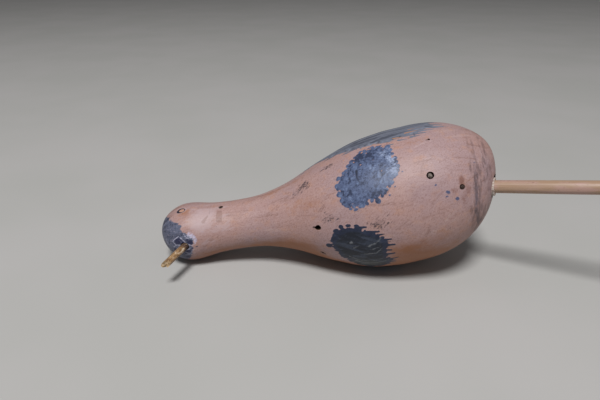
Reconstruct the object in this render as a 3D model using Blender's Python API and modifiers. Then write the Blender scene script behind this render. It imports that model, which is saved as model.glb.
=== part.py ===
"""A stick-up bird decoy: a carved and painted wooden bird on a round stake, lying on its side.

The bird is modelled in its own frame and then laid down. In that frame +X runs along the body from
the head end to the tail end, -Y is the bird's front, where the beak is, and +Z is the flank that
faces up once the bird lies down. A place on the skin is a station (X) and an angle about the body's
centre line: 0 degrees is the front and 90 degrees is the upper flank.
"""

import math

import bmesh
import bpy
from mathutils import Matrix, Vector

MM = 0.001
OVERSHOOT = 5 * MM
GAP = 0.3 * MM

# Body outline, in millimetres: (station, radius) between the two domed ends.
BODY_LENGTH = 258.7
HEAD_DOME_LENGTH = 23.7
HEAD_RADIUS = 23.1
HEAD_BLUNTNESS = 2.0
TAIL_DOME_START = 197.3
BELLY_RADIUS = 51.8
TAIL_BLUNTNESS = 2.2
OUTLINE = [
    (HEAD_DOME_LENGTH, HEAD_RADIUS),
    (45.0, 20.3),
    (66.0, 19.7),
    (84.0, 21.3),
    (105.0, 27.3),
    (131.0, 39.0),
    (157.0, 48.3),
    (180.0, 51.6),
    (TAIL_DOME_START, BELLY_RADIUS),
]
RING_COUNT = 46
RING_SIDES = 56

# Carving: the centre line rises towards the upper flank at the tail and at the tip of the head.
TAIL_LIFT = 12.1
TAIL_LIFT_START = 125.0
TAIL_LIFT_POWER = 1.8
TAIL_TIP_LIFT = 9.0
TAIL_TIP_POWER = 16.7
HEAD_TIP_LIFT = 1.9
HEAD_TIP_REACH = 15.5

# How it lies: body pitched up towards the tail, worn flat where belly and head rest.
REST_PITCH_DEG = 9.8
BELLY_WEAR = 1.1

# Stake and its socket.
STAKE_RADIUS = 4.75
STAKE_MOUTH = Vector((251.9, -23.3, 11.6))
STAKE_FORWARD_LEAN_DEG = 27.0
STAKE_SIDE_LEAN_DEG = 3.0
STAKE_EXPOSED = 248.0
STAKE_SEATED = 50.0
STAKE_POINT_LENGTH = 34.0
STAKE_POINT_RADIUS = 0.9
STAKE_SIDES = 32
SLEEVE_RADIUS = 6.6
SLEEVE_LENGTH = 28.0
SLEEVE_TOP = 1.8
MOUTH_RADIUS = 9.0
MOUTH_DEPTH = 3.5

# Beak peg.
BEAK_STATION = 21.5
BEAK_ROOT_RADIUS = 2.9
BEAK_TIP_RADIUS = 3.0
BEAK_FORWARD_LENGTH = 26.5
BEAK_SEATED = 11.0
BEAK_RAKE_DEG = 23.0
BEAK_BREAK_DEG = 38.0
BEAK_SIDES = 8

# Small holes: (name, station, angle in degrees, radius, depth).
OPEN_HOLES = [
    ("neck_nick", 52.0, 79.0, 0.9, 2.2),
    ("breast_hole", 124.5, 10.0, 2.0, 9.0),
    ("flank_pinhole", 210.0, 69.5, 0.8, 5.0),
    ("belly_slit", 125.0, -30.0, 0.7, 2.5),
]
SHOT_STATION = 205.0
SHOT_ANGLE_DEG = 38.0
SHOT_RADIUS = 1.9
SHOT_SUNK = 2.2
BRAD_STATION = 225.0
BRAD_ANGLE_DEG = 23.0
BRAD_HEAD_RADIUS = 1.5
BRAD_HEAD_THICKNESS = 0.8
BRAD_SHANK_RADIUS = 0.8
BRAD_LENGTH = 24.0
BRAD_SUNK = 0.5
SMALL_HOLE_SIDES = 12
SEAT_SIDES = 16
BORE_END_ROOM = 1.0

# The block that trims the skin level with the ground, in metres.
GROUND_BLOCK = (1.0, 0.5, 0.1)


def clear_scene():
    for existing in list(bpy.data.objects):
        bpy.data.objects.remove(existing, do_unlink=True)


def new_collection(name, hidden):
    collection = bpy.data.collections.new(name)
    bpy.context.scene.collection.children.link(collection)
    collection.hide_render = hidden
    return collection


def new_material(name, colour, roughness, metallic=0.0):
    material = bpy.data.materials.new(name)
    material.use_nodes = True
    shader = material.node_tree.nodes["Principled BSDF"]
    shader.inputs["Base Color"].default_value = (*colour, 1.0)
    shader.inputs["Roughness"].default_value = roughness
    shader.inputs["Metallic"].default_value = metallic
    material.diffuse_color = (*colour, 1.0)
    return material


def smooth_shade(mesh, sharp_deg=35.0):
    mesh.shade_smooth()
    mesh.set_sharp_from_angle(angle=math.radians(sharp_deg))


def dome(along, length, radius, bluntness):
    """Radius of a superelliptic dome, a distance along it in from its tip."""
    part = min(max(1.0 - along / length, 0.0), 1.0)
    return radius * (1.0 - part**bluntness) ** (1.0 / bluntness)


def outline_slope(index):
    """Slope of the outline at one of its points, level where it meets the domes."""
    if index in (0, len(OUTLINE) - 1):
        return 0.0
    before, after = OUTLINE[index - 1], OUTLINE[index + 1]
    return (after[1] - before[1]) / (after[0] - before[0])


def body_radius(station):
    """Radius of the turned body at a station, in millimetres."""
    if station <= HEAD_DOME_LENGTH:
        return dome(station, HEAD_DOME_LENGTH, HEAD_RADIUS, HEAD_BLUNTNESS)
    if station >= TAIL_DOME_START:
        tail_dome_length = BODY_LENGTH - TAIL_DOME_START
        return dome(BODY_LENGTH - station, tail_dome_length, BELLY_RADIUS, TAIL_BLUNTNESS)
    index = max(i for i in range(len(OUTLINE) - 1) if OUTLINE[i][0] <= station)
    (start, low), (end, high) = OUTLINE[index], OUTLINE[index + 1]
    span = end - start
    part = (station - start) / span
    rise = part * part * (3.0 - 2.0 * part)
    leave = outline_slope(index) * span * part * (1.0 - part) ** 2
    arrive = outline_slope(index + 1) * span * part * part * (1.0 - part)
    return low + (high - low) * rise + leave - arrive


def centre_lift(station):
    """How far the body's centre line lies above the turning axis, in millimetres."""
    lift = 0.0
    if station > TAIL_LIFT_START:
        part = (station - TAIL_LIFT_START) / (BODY_LENGTH - TAIL_LIFT_START)
        lift += TAIL_LIFT * part**TAIL_LIFT_POWER + TAIL_TIP_LIFT * part**TAIL_TIP_POWER
    if station < HEAD_TIP_REACH:
        lift += HEAD_TIP_LIFT * (1.0 - station / HEAD_TIP_REACH) ** 2
    return lift


def ring_stations():
    """Stations from head to tail, close together at both domed ends."""
    turns = [math.pi * i / (RING_COUNT - 1) for i in range(RING_COUNT)]
    return [BODY_LENGTH * (1.0 - math.cos(turn)) / 2.0 for turn in turns]


def skin_point(station, angle_deg, depth=0.0):
    """A point in metres under the skin, by station, angle and depth in millimetres."""
    angle = math.radians(angle_deg)
    reach = body_radius(station) - depth
    side = reach * math.sin(angle) + centre_lift(station)
    return Vector((station, -reach * math.cos(angle), side)) * MM


def outward(angle_deg):
    angle = math.radians(angle_deg)
    return Vector((0.0, -math.cos(angle), math.sin(angle)))


def facing(point, direction):
    """A matrix that puts local +Z along the direction at the point."""
    turn = direction.to_track_quat("Z", "Y").to_matrix().to_4x4()
    return Matrix.Translation(point) @ turn


def turned_object(name, profile, sides, collection, axis="Z"):
    """A solid of revolution: the profile lists (radius, height) in metres, from top to bottom."""
    mesh = bpy.data.meshes.new(name)
    if axis == "Z":
        points = [(radius, 0.0, height) for radius, height in profile]
    else:
        points = [(height, radius, 0.0) for radius, height in profile]
    mesh.from_pydata(points, [(i, i + 1) for i in range(len(points) - 1)], [])
    turned = bpy.data.objects.new(name, mesh)
    collection.objects.link(turned)
    screw = turned.modifiers.new("Turn", "SCREW")
    screw.axis = axis
    screw.steps = sides
    screw.render_steps = sides
    screw.use_merge_vertices = True
    screw.merge_threshold = 0.00001
    return turned


def baked(source):
    """Gives an object the mesh that its modifiers make, and removes them."""
    graph = bpy.context.evaluated_depsgraph_get()
    mesh = bpy.data.meshes.new_from_object(source.evaluated_get(graph))
    source.modifiers.clear()
    source.data = mesh
    return source


def cut(target, cutter):
    boolean = target.modifiers.new(cutter.name, "BOOLEAN")
    boolean.operation = "DIFFERENCE"
    boolean.object = cutter


def round_cutter(name, radius, length, point, direction, sides):
    """A cylinder from the point inwards by the length, and out past the skin."""
    cutter_mesh = bpy.data.meshes.new(name)
    shape = bmesh.new()
    full = length * MM + OVERSHOOT
    wide = radius * MM
    bmesh.ops.create_cone(shape, cap_ends=True, segments=sides, radius1=wide, radius2=wide, depth=full)
    bmesh.ops.translate(shape, vec=(0.0, 0.0, OVERSHOOT - full / 2.0), verts=shape.verts)
    shape.to_mesh(cutter_mesh)
    shape.free()
    return place_cutter(cutter_mesh, facing(point, direction))


def place_cutter(mesh, matrix):
    cutter = bpy.data.objects.new(mesh.name, mesh)
    cutters.objects.link(cutter)
    cutter.parent = bird
    cutter.matrix_local = matrix
    cutter.hide_render = True
    cutter.display_type = "WIRE"
    return cutter


def add_part(part, material, matrix=None):
    part.data.materials.clear()
    part.data.materials.append(material)
    part.parent = bird
    if matrix is not None:
        part.matrix_local = matrix
    return part


def make_body():
    profile = [(body_radius(station) * MM, station * MM) for station in ring_stations()]
    body = turned_object("carved_body", profile, RING_SIDES, parts, axis="X")
    body.modifiers["Turn"].use_normal_flip = True
    baked(body)
    for vertex in body.data.vertices:
        vertex.co.z += centre_lift(min(max(vertex.co.x / MM, 0.0), BODY_LENGTH)) * MM
    smooth_shade(body.data)
    return add_part(body, new_material("body_paint", (0.42, 0.26, 0.22), 0.55))


def stake_matrix():
    """The stake's frame: origin at the mouth, +Z out along the stake."""
    lean = math.radians(STAKE_FORWARD_LEAN_DEG)
    side = math.radians(STAKE_SIDE_LEAN_DEG)
    level = math.cos(side)
    direction = Vector((math.cos(lean) * level, -math.sin(lean) * level, math.sin(side)))
    return facing(STAKE_MOUTH * MM, direction)


def make_stake(frame):
    tip = STAKE_EXPOSED * MM
    shoulder = (STAKE_EXPOSED - STAKE_POINT_LENGTH) * MM
    radius = STAKE_RADIUS * MM
    profile = [
        (0.0, tip),
        (STAKE_POINT_RADIUS * MM, tip),
        (radius, shoulder),
        (radius, -STAKE_SEATED * MM),
        (0.0, -STAKE_SEATED * MM),
    ]
    stake = baked(turned_object("stake", profile, STAKE_SIDES, parts))
    smooth_shade(stake.data)
    return add_part(stake, new_material("stake_wood", (0.55, 0.36, 0.20), 0.5), frame)


def make_sleeve(frame):
    inner = STAKE_RADIUS * MM + GAP
    outer = SLEEVE_RADIUS * MM
    top = SLEEVE_TOP * MM
    bottom = top - SLEEVE_LENGTH * MM
    profile = [(inner, top), (outer, top), (outer, bottom), (inner, bottom), (inner, top)]
    sleeve = baked(turned_object("stake_sleeve", profile, STAKE_SIDES, parts))
    smooth_shade(sleeve.data)
    return add_part(sleeve, new_material("sleeve_wood", (0.72, 0.66, 0.60), 0.7), frame)


def cut_socket(body, frame):
    """The stake's socket: a wide mouth, a bore for the sleeve, and a narrow bore below it."""
    point = frame.translation
    direction = frame.to_3x3() @ Vector((0.0, 0.0, 1.0))
    above = OVERSHOOT / MM
    bores = [
        ("mouth_cutter", MOUTH_RADIUS, MOUTH_DEPTH),
        ("sleeve_bore_cutter", SLEEVE_RADIUS + GAP / MM, SLEEVE_LENGTH - SLEEVE_TOP + BORE_END_ROOM),
        ("stake_bore_cutter", STAKE_RADIUS + GAP / MM, STAKE_SEATED + BORE_END_ROOM),
    ]
    for name, radius, depth in bores:
        start = point + direction * OVERSHOOT
        cut(body, round_cutter(name, radius, depth + above, start, direction, STAKE_SIDES))


def beak_matrix():
    """The beak's frame: origin on the skin, +Z out along the beak, raked towards the head end."""
    rake = math.radians(BEAK_RAKE_DEG)
    direction = Vector((-math.sin(rake), -math.cos(rake), 0.0))
    return facing(skin_point(BEAK_STATION, 0.0), direction)


def make_beak(frame, body):
    """A whittled eight-sided peg with its tip broken off at a slant."""
    peg_mesh = bpy.data.meshes.new("beak_peg")
    shape = bmesh.new()
    full = (BEAK_FORWARD_LENGTH + BEAK_SEATED) * MM
    bmesh.ops.create_cone(
        shape,
        cap_ends=True,
        segments=BEAK_SIDES,
        radius1=BEAK_ROOT_RADIUS * MM,
        radius2=BEAK_TIP_RADIUS * MM,
        depth=full,
    )
    bmesh.ops.translate(shape, vec=(0.0, 0.0, full / 2.0 - BEAK_SEATED * MM), verts=shape.verts)
    slant = math.radians(BEAK_BREAK_DEG)
    bmesh.ops.bisect_plane(
        shape,
        geom=shape.verts[:] + shape.edges[:] + shape.faces[:],
        plane_co=(0.0, 0.0, (BEAK_FORWARD_LENGTH - BEAK_TIP_RADIUS * math.tan(slant)) * MM),
        plane_no=(math.sin(slant), 0.0, math.cos(slant)),
        clear_outer=True,
    )
    open_edges = [edge for edge in shape.edges if edge.is_boundary]
    bmesh.ops.contextual_create(shape, geom=open_edges)
    bmesh.ops.recalc_face_normals(shape, faces=shape.faces)
    shape.to_mesh(peg_mesh)
    shape.free()
    peg = bpy.data.objects.new("beak_peg", peg_mesh)
    parts.objects.link(peg)
    direction = frame.to_3x3() @ Vector((0.0, 0.0, 1.0))
    radius = BEAK_ROOT_RADIUS + GAP / MM
    depth = BEAK_SEATED + BORE_END_ROOM
    cut(body, round_cutter("beak_cutter", radius, depth, frame.translation, direction, SEAT_SIDES))
    return add_part(peg, new_material("beak_wood", (0.50, 0.33, 0.14), 0.6), frame)


def cut_open_holes(body):
    for name, station, angle, radius, depth in OPEN_HOLES:
        mouth = skin_point(station, angle)
        hole = round_cutter(name + "_cutter", radius, depth, mouth, outward(angle), SMALL_HOLE_SIDES)
        cut(body, hole)


def make_shot(body):
    """A spent lead shot, seated in the shallow hole that it made."""
    shot_mesh = bpy.data.meshes.new("lodged_shot")
    shape = bmesh.new()
    bmesh.ops.create_uvsphere(shape, u_segments=SEAT_SIDES, v_segments=10, radius=SHOT_RADIUS * MM)
    shape.to_mesh(shot_mesh)
    shape.free()
    smooth_shade(shot_mesh)
    shot = bpy.data.objects.new("lodged_shot", shot_mesh)
    parts.objects.link(shot)
    direction = outward(SHOT_ANGLE_DEG)
    mouth = skin_point(SHOT_STATION, SHOT_ANGLE_DEG)
    hole_radius = SHOT_RADIUS + 2 * GAP / MM
    depth = SHOT_SUNK + SHOT_RADIUS + GAP / MM
    cut(body, round_cutter("shot_cutter", hole_radius, depth, mouth, direction, SEAT_SIDES))
    centre = skin_point(SHOT_STATION, SHOT_ANGLE_DEG, SHOT_SUNK)
    return add_part(shot, new_material("lead", (0.35, 0.35, 0.37), 0.5, 0.6), facing(centre, direction))


def make_brad(body):
    """A small round-headed brad with its head sunk just under the skin."""
    head = BRAD_HEAD_RADIUS * MM
    shank = BRAD_SHANK_RADIUS * MM
    below = -BRAD_HEAD_THICKNESS * MM
    point = -BRAD_LENGTH * MM
    profile = [
        (0.0, 0.0),
        (head, 0.0),
        (head, below),
        (shank, below),
        (shank, point + 2 * shank),
        (0.0, point),
    ]
    brad = baked(turned_object("tail_brad", profile, SEAT_SIDES, parts))
    smooth_shade(brad.data)
    direction = outward(BRAD_ANGLE_DEG)
    mouth = skin_point(BRAD_STATION, BRAD_ANGLE_DEG)
    room = GAP / MM
    bores = [
        ("brad_head_cutter", BRAD_HEAD_RADIUS, BRAD_SUNK + BRAD_HEAD_THICKNESS, SEAT_SIDES),
        ("brad_shank_cutter", BRAD_SHANK_RADIUS, BRAD_SUNK + BRAD_LENGTH, SMALL_HOLE_SIDES),
    ]
    for name, radius, depth, sides in bores:
        cut(body, round_cutter(name, radius + room, depth + room, mouth, direction, sides))
    seat = skin_point(BRAD_STATION, BRAD_ANGLE_DEG, BRAD_SUNK)
    iron = new_material("rusty_iron", (0.10, 0.06, 0.04), 0.8, 0.4)
    return add_part(brad, iron, facing(seat, direction))


def lay_down(body):
    """Pitches the bird and lowers it until the belly's lowest skin is worn off by BELLY_WEAR."""
    bird.rotation_euler = (0.0, -math.radians(REST_PITCH_DEG), 0.0)
    bpy.context.view_layer.update()
    turn = bird.matrix_world.to_3x3()
    lowest = min((turn @ vertex.co).z for vertex in body.data.vertices)
    bird.location.z = -lowest - BELLY_WEAR * MM


def wear_flat(body):
    """Cuts the skin level with the ground, where the belly and the head rest."""
    floor_mesh = bpy.data.meshes.new("ground_cutter")
    shape = bmesh.new()
    bmesh.ops.create_cube(shape, size=1.0)
    bmesh.ops.scale(shape, vec=GROUND_BLOCK, verts=shape.verts)
    bmesh.ops.translate(shape, vec=(0.0, 0.0, -GROUND_BLOCK[2] / 2.0), verts=shape.verts)
    shape.to_mesh(floor_mesh)
    shape.free()
    floor = bpy.data.objects.new("ground_cutter", floor_mesh)
    cutters.objects.link(floor)
    floor.hide_render = True
    floor.display_type = "WIRE"
    cut(body, floor)
    return floor


def centre_over_origin(pieces, floor):
    """Moves the bird sideways until the middle of its bounding box stands over the origin."""
    bpy.context.view_layer.update()
    graph = bpy.context.evaluated_depsgraph_get()
    corners = []
    for piece in pieces:
        evaluated = piece.evaluated_get(graph)
        corners += [evaluated.matrix_world @ vertex.co for vertex in evaluated.data.vertices]
    for axis in (0, 1):
        values = [corner[axis] for corner in corners]
        bird.location[axis] -= (min(values) + max(values)) / 2.0
    floor.location.x = bird.location.x + BODY_LENGTH * MM / 2.0
    floor.location.y = bird.location.y
    bpy.context.view_layer.update()


clear_scene()
parts = new_collection("stick_up_decoy", hidden=False)
cutters = new_collection("cutters", hidden=True)
bird = bpy.data.objects.new("bird_frame", None)
parts.objects.link(bird)

carved_body = make_body()
lay_down(carved_body)
stake_frame = stake_matrix()
pieces = [
    carved_body,
    make_stake(stake_frame),
    make_sleeve(stake_frame),
    make_beak(beak_matrix(), carved_body),
    make_shot(carved_body),
    make_brad(carved_body),
]
cut_socket(carved_body, stake_frame)
cut_open_holes(carved_body)
ground = wear_flat(carved_body)
centre_over_origin(pieces, ground)
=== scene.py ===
"""The looks of a stick-up bird decoy: carved, hand painted, worn, and lying on its side.

Every piece is made in the bird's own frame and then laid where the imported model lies. In that frame
+X runs along the body from the head end to the tail end, -Y is the bird's front, where the beak is,
and +Z is the flank that faces up. A place on the skin is a station (X, in millimetres) and an angle
about the body's centre line: 0 degrees is the front and 90 degrees is the upper flank.
"""

import math

import bmesh
import bpy
import numpy as np
from mathutils import Matrix, Vector


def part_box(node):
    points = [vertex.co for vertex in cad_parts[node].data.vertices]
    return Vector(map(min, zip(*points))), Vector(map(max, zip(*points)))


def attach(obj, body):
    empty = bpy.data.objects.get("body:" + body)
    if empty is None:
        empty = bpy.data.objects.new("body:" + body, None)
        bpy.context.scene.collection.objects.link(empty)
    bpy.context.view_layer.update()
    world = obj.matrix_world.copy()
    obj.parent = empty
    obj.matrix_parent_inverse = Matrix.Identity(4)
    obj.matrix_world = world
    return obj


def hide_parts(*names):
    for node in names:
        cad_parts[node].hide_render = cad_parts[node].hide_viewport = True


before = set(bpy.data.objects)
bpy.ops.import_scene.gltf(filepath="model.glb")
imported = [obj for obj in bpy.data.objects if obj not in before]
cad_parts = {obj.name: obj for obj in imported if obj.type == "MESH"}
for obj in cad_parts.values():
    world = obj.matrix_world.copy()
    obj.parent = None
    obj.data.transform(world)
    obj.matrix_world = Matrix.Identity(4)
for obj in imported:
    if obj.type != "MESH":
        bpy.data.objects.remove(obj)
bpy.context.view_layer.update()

MM = 0.001
# Stands for a place far outside a shape, in millimetres.
FAR = 30.0

# The carved body's shape, the same as the solid's.
BODY_LENGTH = 258.7
HEAD_DOME_LENGTH = 23.7
HEAD_RADIUS = 23.1
HEAD_BLUNTNESS = 2.0
TAIL_DOME_START = 197.3
BELLY_RADIUS = 51.8
TAIL_BLUNTNESS = 2.2
OUTLINE = [
    (HEAD_DOME_LENGTH, HEAD_RADIUS),
    (45.0, 20.3),
    (66.0, 19.7),
    (84.0, 21.3),
    (105.0, 27.3),
    (131.0, 39.0),
    (157.0, 48.3),
    (180.0, 51.6),
    (TAIL_DOME_START, BELLY_RADIUS),
]
TAIL_LIFT = 12.1
TAIL_LIFT_START = 125.0
TAIL_LIFT_POWER = 1.8
TAIL_TIP_LIFT = 9.0
TAIL_TIP_POWER = 16.7
HEAD_TIP_LIFT = 1.9
HEAD_TIP_REACH = 15.5
REST_PITCH_DEG = 9.8

# Fineness of the body's surface: ring spacing along the skin, and points round a ring.
HEAD_RING_STEP = 0.4
BODY_RING_STEP = 0.62
HEAD_END = 46.0
BODY_SIDES = 480

# Carving depths, in millimetres, all taken off the solid's skin.
SKIN_ALLOWANCE = 0.34
FACET_DEPTH = 0.2
GRAIN_DEPTH = 0.05
CRACK_WIDTH = 0.6
CRACK_DEPTH = 0.35
EYE_GROOVE = 0.25
PAINT_THICKNESS = 0.16

# Stake, sleeve and socket.
STAKE_RADIUS = 4.75
STAKE_MOUTH = (251.9, -23.3, 11.6)
STAKE_FORWARD_LEAN_DEG = 27.0
STAKE_SIDE_LEAN_DEG = 3.0
STAKE_EXPOSED = 248.0
STAKE_SEATED = 50.0
STAKE_POINT_LENGTH = 34.0
STAKE_POINT_RADIUS = 0.9
STAKE_FACETS = 7
SLEEVE_RADIUS = 6.6
SLEEVE_LENGTH = 28.0
SLEEVE_TOP = 1.8
MOUTH_RADIUS = 9.0
MOUTH_DEPTH = 3.5
MOUTH_ALLOWANCE = 0.4
CLEARANCE = 0.3
BORE_END_ROOM = 1.0

# Beak peg.
BEAK_STATION = 21.5
BEAK_ROOT_RADIUS = 2.9
BEAK_TIP_RADIUS = 3.0
BEAK_FORWARD_LENGTH = 26.5
BEAK_SEATED = 11.0
BEAK_RAKE_DEG = 23.0
BEAK_BREAK_DEG = 38.0
BEAK_FACETS = 8
BEAK_NOTCH_TURN = 1.2
BEAK_NOTCH_DEPTH = 1.6
BEAK_NOTCH_WIDTH = 0.45

# Holes: (name, station, angle, radius, depth).
OPEN_HOLES = [
    ("neck_nick", 52.0, 79.0, 0.9, 2.2),
    ("breast_hole", 124.5, 10.0, 2.0, 9.0),
    ("flank_pinhole", 210.0, 69.5, 0.8, 5.0),
    ("belly_slit", 125.0, -30.0, 0.7, 2.5),
]
SHOT = {"station": 205.0, "angle": 38.0, "radius": 1.9, "sunk": 2.2}
BRAD = {
    "station": 225.0, "angle": 23.0, "head": 1.5, "thick": 0.8, "shank": 0.8, "length": 24.0, "sunk": 0.5,
}
BRAD_POINT = 1.6

# Painted eyes, the same on both sides of the head, and a long crack in the upper flank.
EYE = {"station": 21.3, "radius_x": 2.9, "radius_y": 2.1, "width": 1.5, "heavy_deg": 160.0}
EYE_ANGLE = 76.6
FLANK_CRACK = [(199.5, 63.6), (203.5, 65.4), (207.0, 66.3), (211.0, 66.7)]


# ---------------------------------------------------------------- shape of the body

def dome(along, length, radius, bluntness):
    part = np.clip(1.0 - along / length, 0.0, 1.0)
    return radius * (1.0 - part**bluntness) ** (1.0 / bluntness)


def outline_slope(index):
    if index in (0, len(OUTLINE) - 1):
        return 0.0
    before, after = OUTLINE[index - 1], OUTLINE[index + 1]
    return (after[1] - before[1]) / (after[0] - before[0])


def body_radius(stations):
    """Radius of the body at each station."""
    stations = np.asarray(stations, float)
    head = dome(stations, HEAD_DOME_LENGTH, HEAD_RADIUS, HEAD_BLUNTNESS)
    tail = dome(BODY_LENGTH - stations, BODY_LENGTH - TAIL_DOME_START, BELLY_RADIUS, TAIL_BLUNTNESS)
    radius = np.where(stations <= HEAD_DOME_LENGTH, head, tail)
    for index, ((start, low), (end, high)) in enumerate(zip(OUTLINE, OUTLINE[1:])):
        span = end - start
        part = (stations - start) / span
        curve = low + (high - low) * part * part * (3.0 - 2.0 * part)
        curve += outline_slope(index) * span * part * (1.0 - part) ** 2
        curve -= outline_slope(index + 1) * span * part * part * (1.0 - part)
        radius = np.where((stations > start) & (stations < end), curve, radius)
    for station, value in OUTLINE:
        radius = np.where(stations == station, value, radius)
    return radius


def centre_lift(stations):
    """How far the body's centre line lies above the turning axis at each station."""
    stations = np.asarray(stations, float)
    part = np.clip((stations - TAIL_LIFT_START) / (BODY_LENGTH - TAIL_LIFT_START), 0.0, 1.0)
    tail = TAIL_LIFT * part**TAIL_LIFT_POWER + TAIL_TIP_LIFT * part**TAIL_TIP_POWER
    nose = HEAD_TIP_LIFT * np.clip(1.0 - stations / HEAD_TIP_REACH, 0.0, 1.0) ** 2
    return tail + nose


def skin_point(station, angle_deg, depth=0.0):
    """A point in millimetres on or under the skin."""
    angle = np.radians(angle_deg)
    reach = body_radius(station) - depth
    return np.array([station, -reach * np.cos(angle), reach * np.sin(angle) + centre_lift(station)])


def outward(angle_deg):
    angle = math.radians(angle_deg)
    return Vector((0.0, -math.cos(angle), math.sin(angle)))


def facing(point_mm, direction):
    """A matrix that puts local +Z along the direction at the point."""
    turn = Vector(direction).to_track_quat("Z", "Y").to_matrix().to_4x4()
    return Matrix.Translation(Vector(point_mm) * MM) @ turn


def skin_frame(station, angle_deg, depth=0.0):
    """A frame on or under the skin that faces straight out of it."""
    return facing(skin_point(station, angle_deg, depth), outward(angle_deg))


def bird_matrix():
    """The bird's frame: pitched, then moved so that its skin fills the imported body's box."""
    low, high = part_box("carved_body")
    pitch = math.radians(REST_PITCH_DEG)
    stations = np.linspace(0.0, BODY_LENGTH, 4000)
    upper = centre_lift(stations) + body_radius(stations)
    nose_x = (math.cos(pitch) * stations - math.sin(pitch) * upper).min() * MM
    top_z = (math.sin(pitch) * stations + math.cos(pitch) * upper).max() * MM
    place = Vector((low.x - nose_x, (low.y + high.y) / 2.0, high.z - top_z))
    return Matrix.Translation(place) @ Matrix.Rotation(-pitch, 4, "Y")


BIRD = bird_matrix()


# ---------------------------------------------------------------- smooth random fields

def hashed(lattice, seed):
    """A repeatable random number from -1 to 1 for each row of whole numbers."""
    mixed = (lattice.astype(np.int64) * np.array([73856093, 19349663, 83492791])).sum(axis=1)
    mixed = (mixed + seed * 2654435761) & 0xFFFFFFFF
    mixed = ((mixed ^ (mixed >> 15)) * 2246822519) & 0xFFFFFFFF
    mixed = ((mixed ^ (mixed >> 13)) * 3266489917) & 0xFFFFFFFF
    return (mixed ^ (mixed >> 16)) / 2147483647.5 - 1.0


def smooth_noise(points, cell, seed):
    """Value noise from -1 to 1 over 3-D points; cell is its size, or its size along each axis."""
    scaled = points.reshape(-1, 3) / np.asarray(cell, float)
    base = np.floor(scaled)
    part = scaled - base
    part = part * part * (3.0 - 2.0 * part)
    total = np.zeros(len(scaled))
    for corner in np.ndindex(2, 2, 2):
        weight = np.where(corner, part, 1.0 - part).prod(axis=1)
        total += weight * hashed(base + corner, seed)
    return total.reshape(points.shape[:-1])


# ---------------------------------------------------------------- meshes from rings

def round_grid(levels, sides):
    """The level and the turn, in radians, of every point of a stack of rings."""
    turns = np.linspace(0.0, 2.0 * math.pi, sides, endpoint=False)
    return np.meshgrid(levels, turns, indexing="ij")


def round_points(radius, turn, height):
    """Points from their radius, turn and height about a piece's own axis."""
    return np.stack(np.broadcast_arrays(radius * np.cos(turn), radius * np.sin(turn), height), axis=-1)


def turned_rings(profile, sides):
    """Rings of a turned shape from (radius, height) pairs."""
    reach, height = np.array(profile).T
    radius, turn = round_grid(reach, sides)
    return round_points(radius, turn, height[:, None])


def ring_faces(rings, sides, joined):
    """Quads between neighbouring rings; joined also links the last ring to the first."""
    first = np.arange(rings if joined else rings - 1)[:, None]
    side = np.arange(sides)[None, :]
    after = (first + 1) % rings
    beside = (side + 1) % sides
    quads = [first * sides + side, after * sides + side, after * sides + beside, first * sides + beside]
    return np.stack(np.broadcast_arrays(*quads), axis=-1).reshape(-1, 4)


def turned_outward(mesh):
    """Reverses a closed mesh's faces if they face inwards."""
    shape = bmesh.new()
    shape.from_mesh(mesh)
    if shape.calc_volume(signed=True) < 0.0:
        bmesh.ops.reverse_faces(shape, faces=shape.faces)
        shape.to_mesh(mesh)
    shape.free()


def in_scene(name, data):
    """A new object that shows some data."""
    shown = bpy.data.objects.new(name, data)
    bpy.context.scene.collection.objects.link(shown)
    return shown


def ring_piece(name, rings, matrix, joined=False):
    """A closed piece from (rings, sides, 3) points in millimetres, fanned at each end unless joined."""
    count, sides, _ = rings.shape
    points = rings.reshape(-1, 3)
    faces = ring_faces(count, sides, joined).tolist()
    if not joined:
        points = np.vstack([points, rings[0].mean(axis=0), rings[-1].mean(axis=0)])
        start, end, last = count * sides, count * sides + 1, (count - 1) * sides
        for side in range(sides):
            beside = (side + 1) % sides
            faces.append([start, side, beside])
            faces.append([end, last + beside, last + side])
    turn = np.array(matrix)
    mesh = bpy.data.meshes.new(name)
    mesh.from_pydata((points * MM @ turn[:3, :3].T + turn[:3, 3]).tolist(), [], faces)
    mesh.validate()
    turned_outward(mesh)
    mesh.shade_smooth()
    return in_scene(name, mesh)


def own_points(mesh, matrix):
    """The mesh's points in its own frame, in millimetres, also kept in it as "place"."""
    flat = np.empty(len(mesh.vertices) * 3, np.float32)
    mesh.vertices.foreach_get("co", flat)
    turn = np.array(matrix)
    points = (flat.reshape(-1, 3).astype(float) - turn[:3, 3]) @ turn[:3, :3] / MM
    place = mesh.attributes.new("place", "FLOAT_VECTOR", "POINT")
    place.data.foreach_set("vector", np.ascontiguousarray(points, np.float32).ravel())
    return points


def laid(name, rings, place, sharp_deg=None, joined=False):
    """A piece laid by its frame on the bird, with its sharp edges marked, and its own points."""
    piece = ring_piece(name, rings, BIRD @ place, joined)
    if sharp_deg is not None:
        piece.data.set_sharp_from_angle(angle=math.radians(sharp_deg))
    return piece, own_points(piece.data, BIRD @ place)


def set_field(mesh, name, values):
    """Stores one number for each point, which the materials read by name."""
    field = mesh.attributes.new(name, "FLOAT", "POINT")
    field.data.foreach_set("value", np.ascontiguousarray(values, np.float32))


def stand_in(piece, body, node, material):
    """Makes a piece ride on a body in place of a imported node."""
    piece.data.materials.clear()
    piece.data.materials.append(material)
    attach(piece, body)
    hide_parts(node)

# ---------------------------------------------------------------- places and strokes on the skin

# How far from a shape its distances are worked out, along the body and out of the skin.
LINE_REACH = 8.0
OUTLINE_REACH = 12.0
OVAL_REACH = 14.0
OVAL_OUT = 8.0
EYE_OUT = 6.0


def slanted(x, y, direction, along, around):
    """Flat distances turned by a direction, then scaled so that an ellipse's edge is at 1."""
    u = (x * math.cos(direction) + y * math.sin(direction)) / along
    v = (y * math.cos(direction) - x * math.sin(direction)) / around
    return u, v


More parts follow.
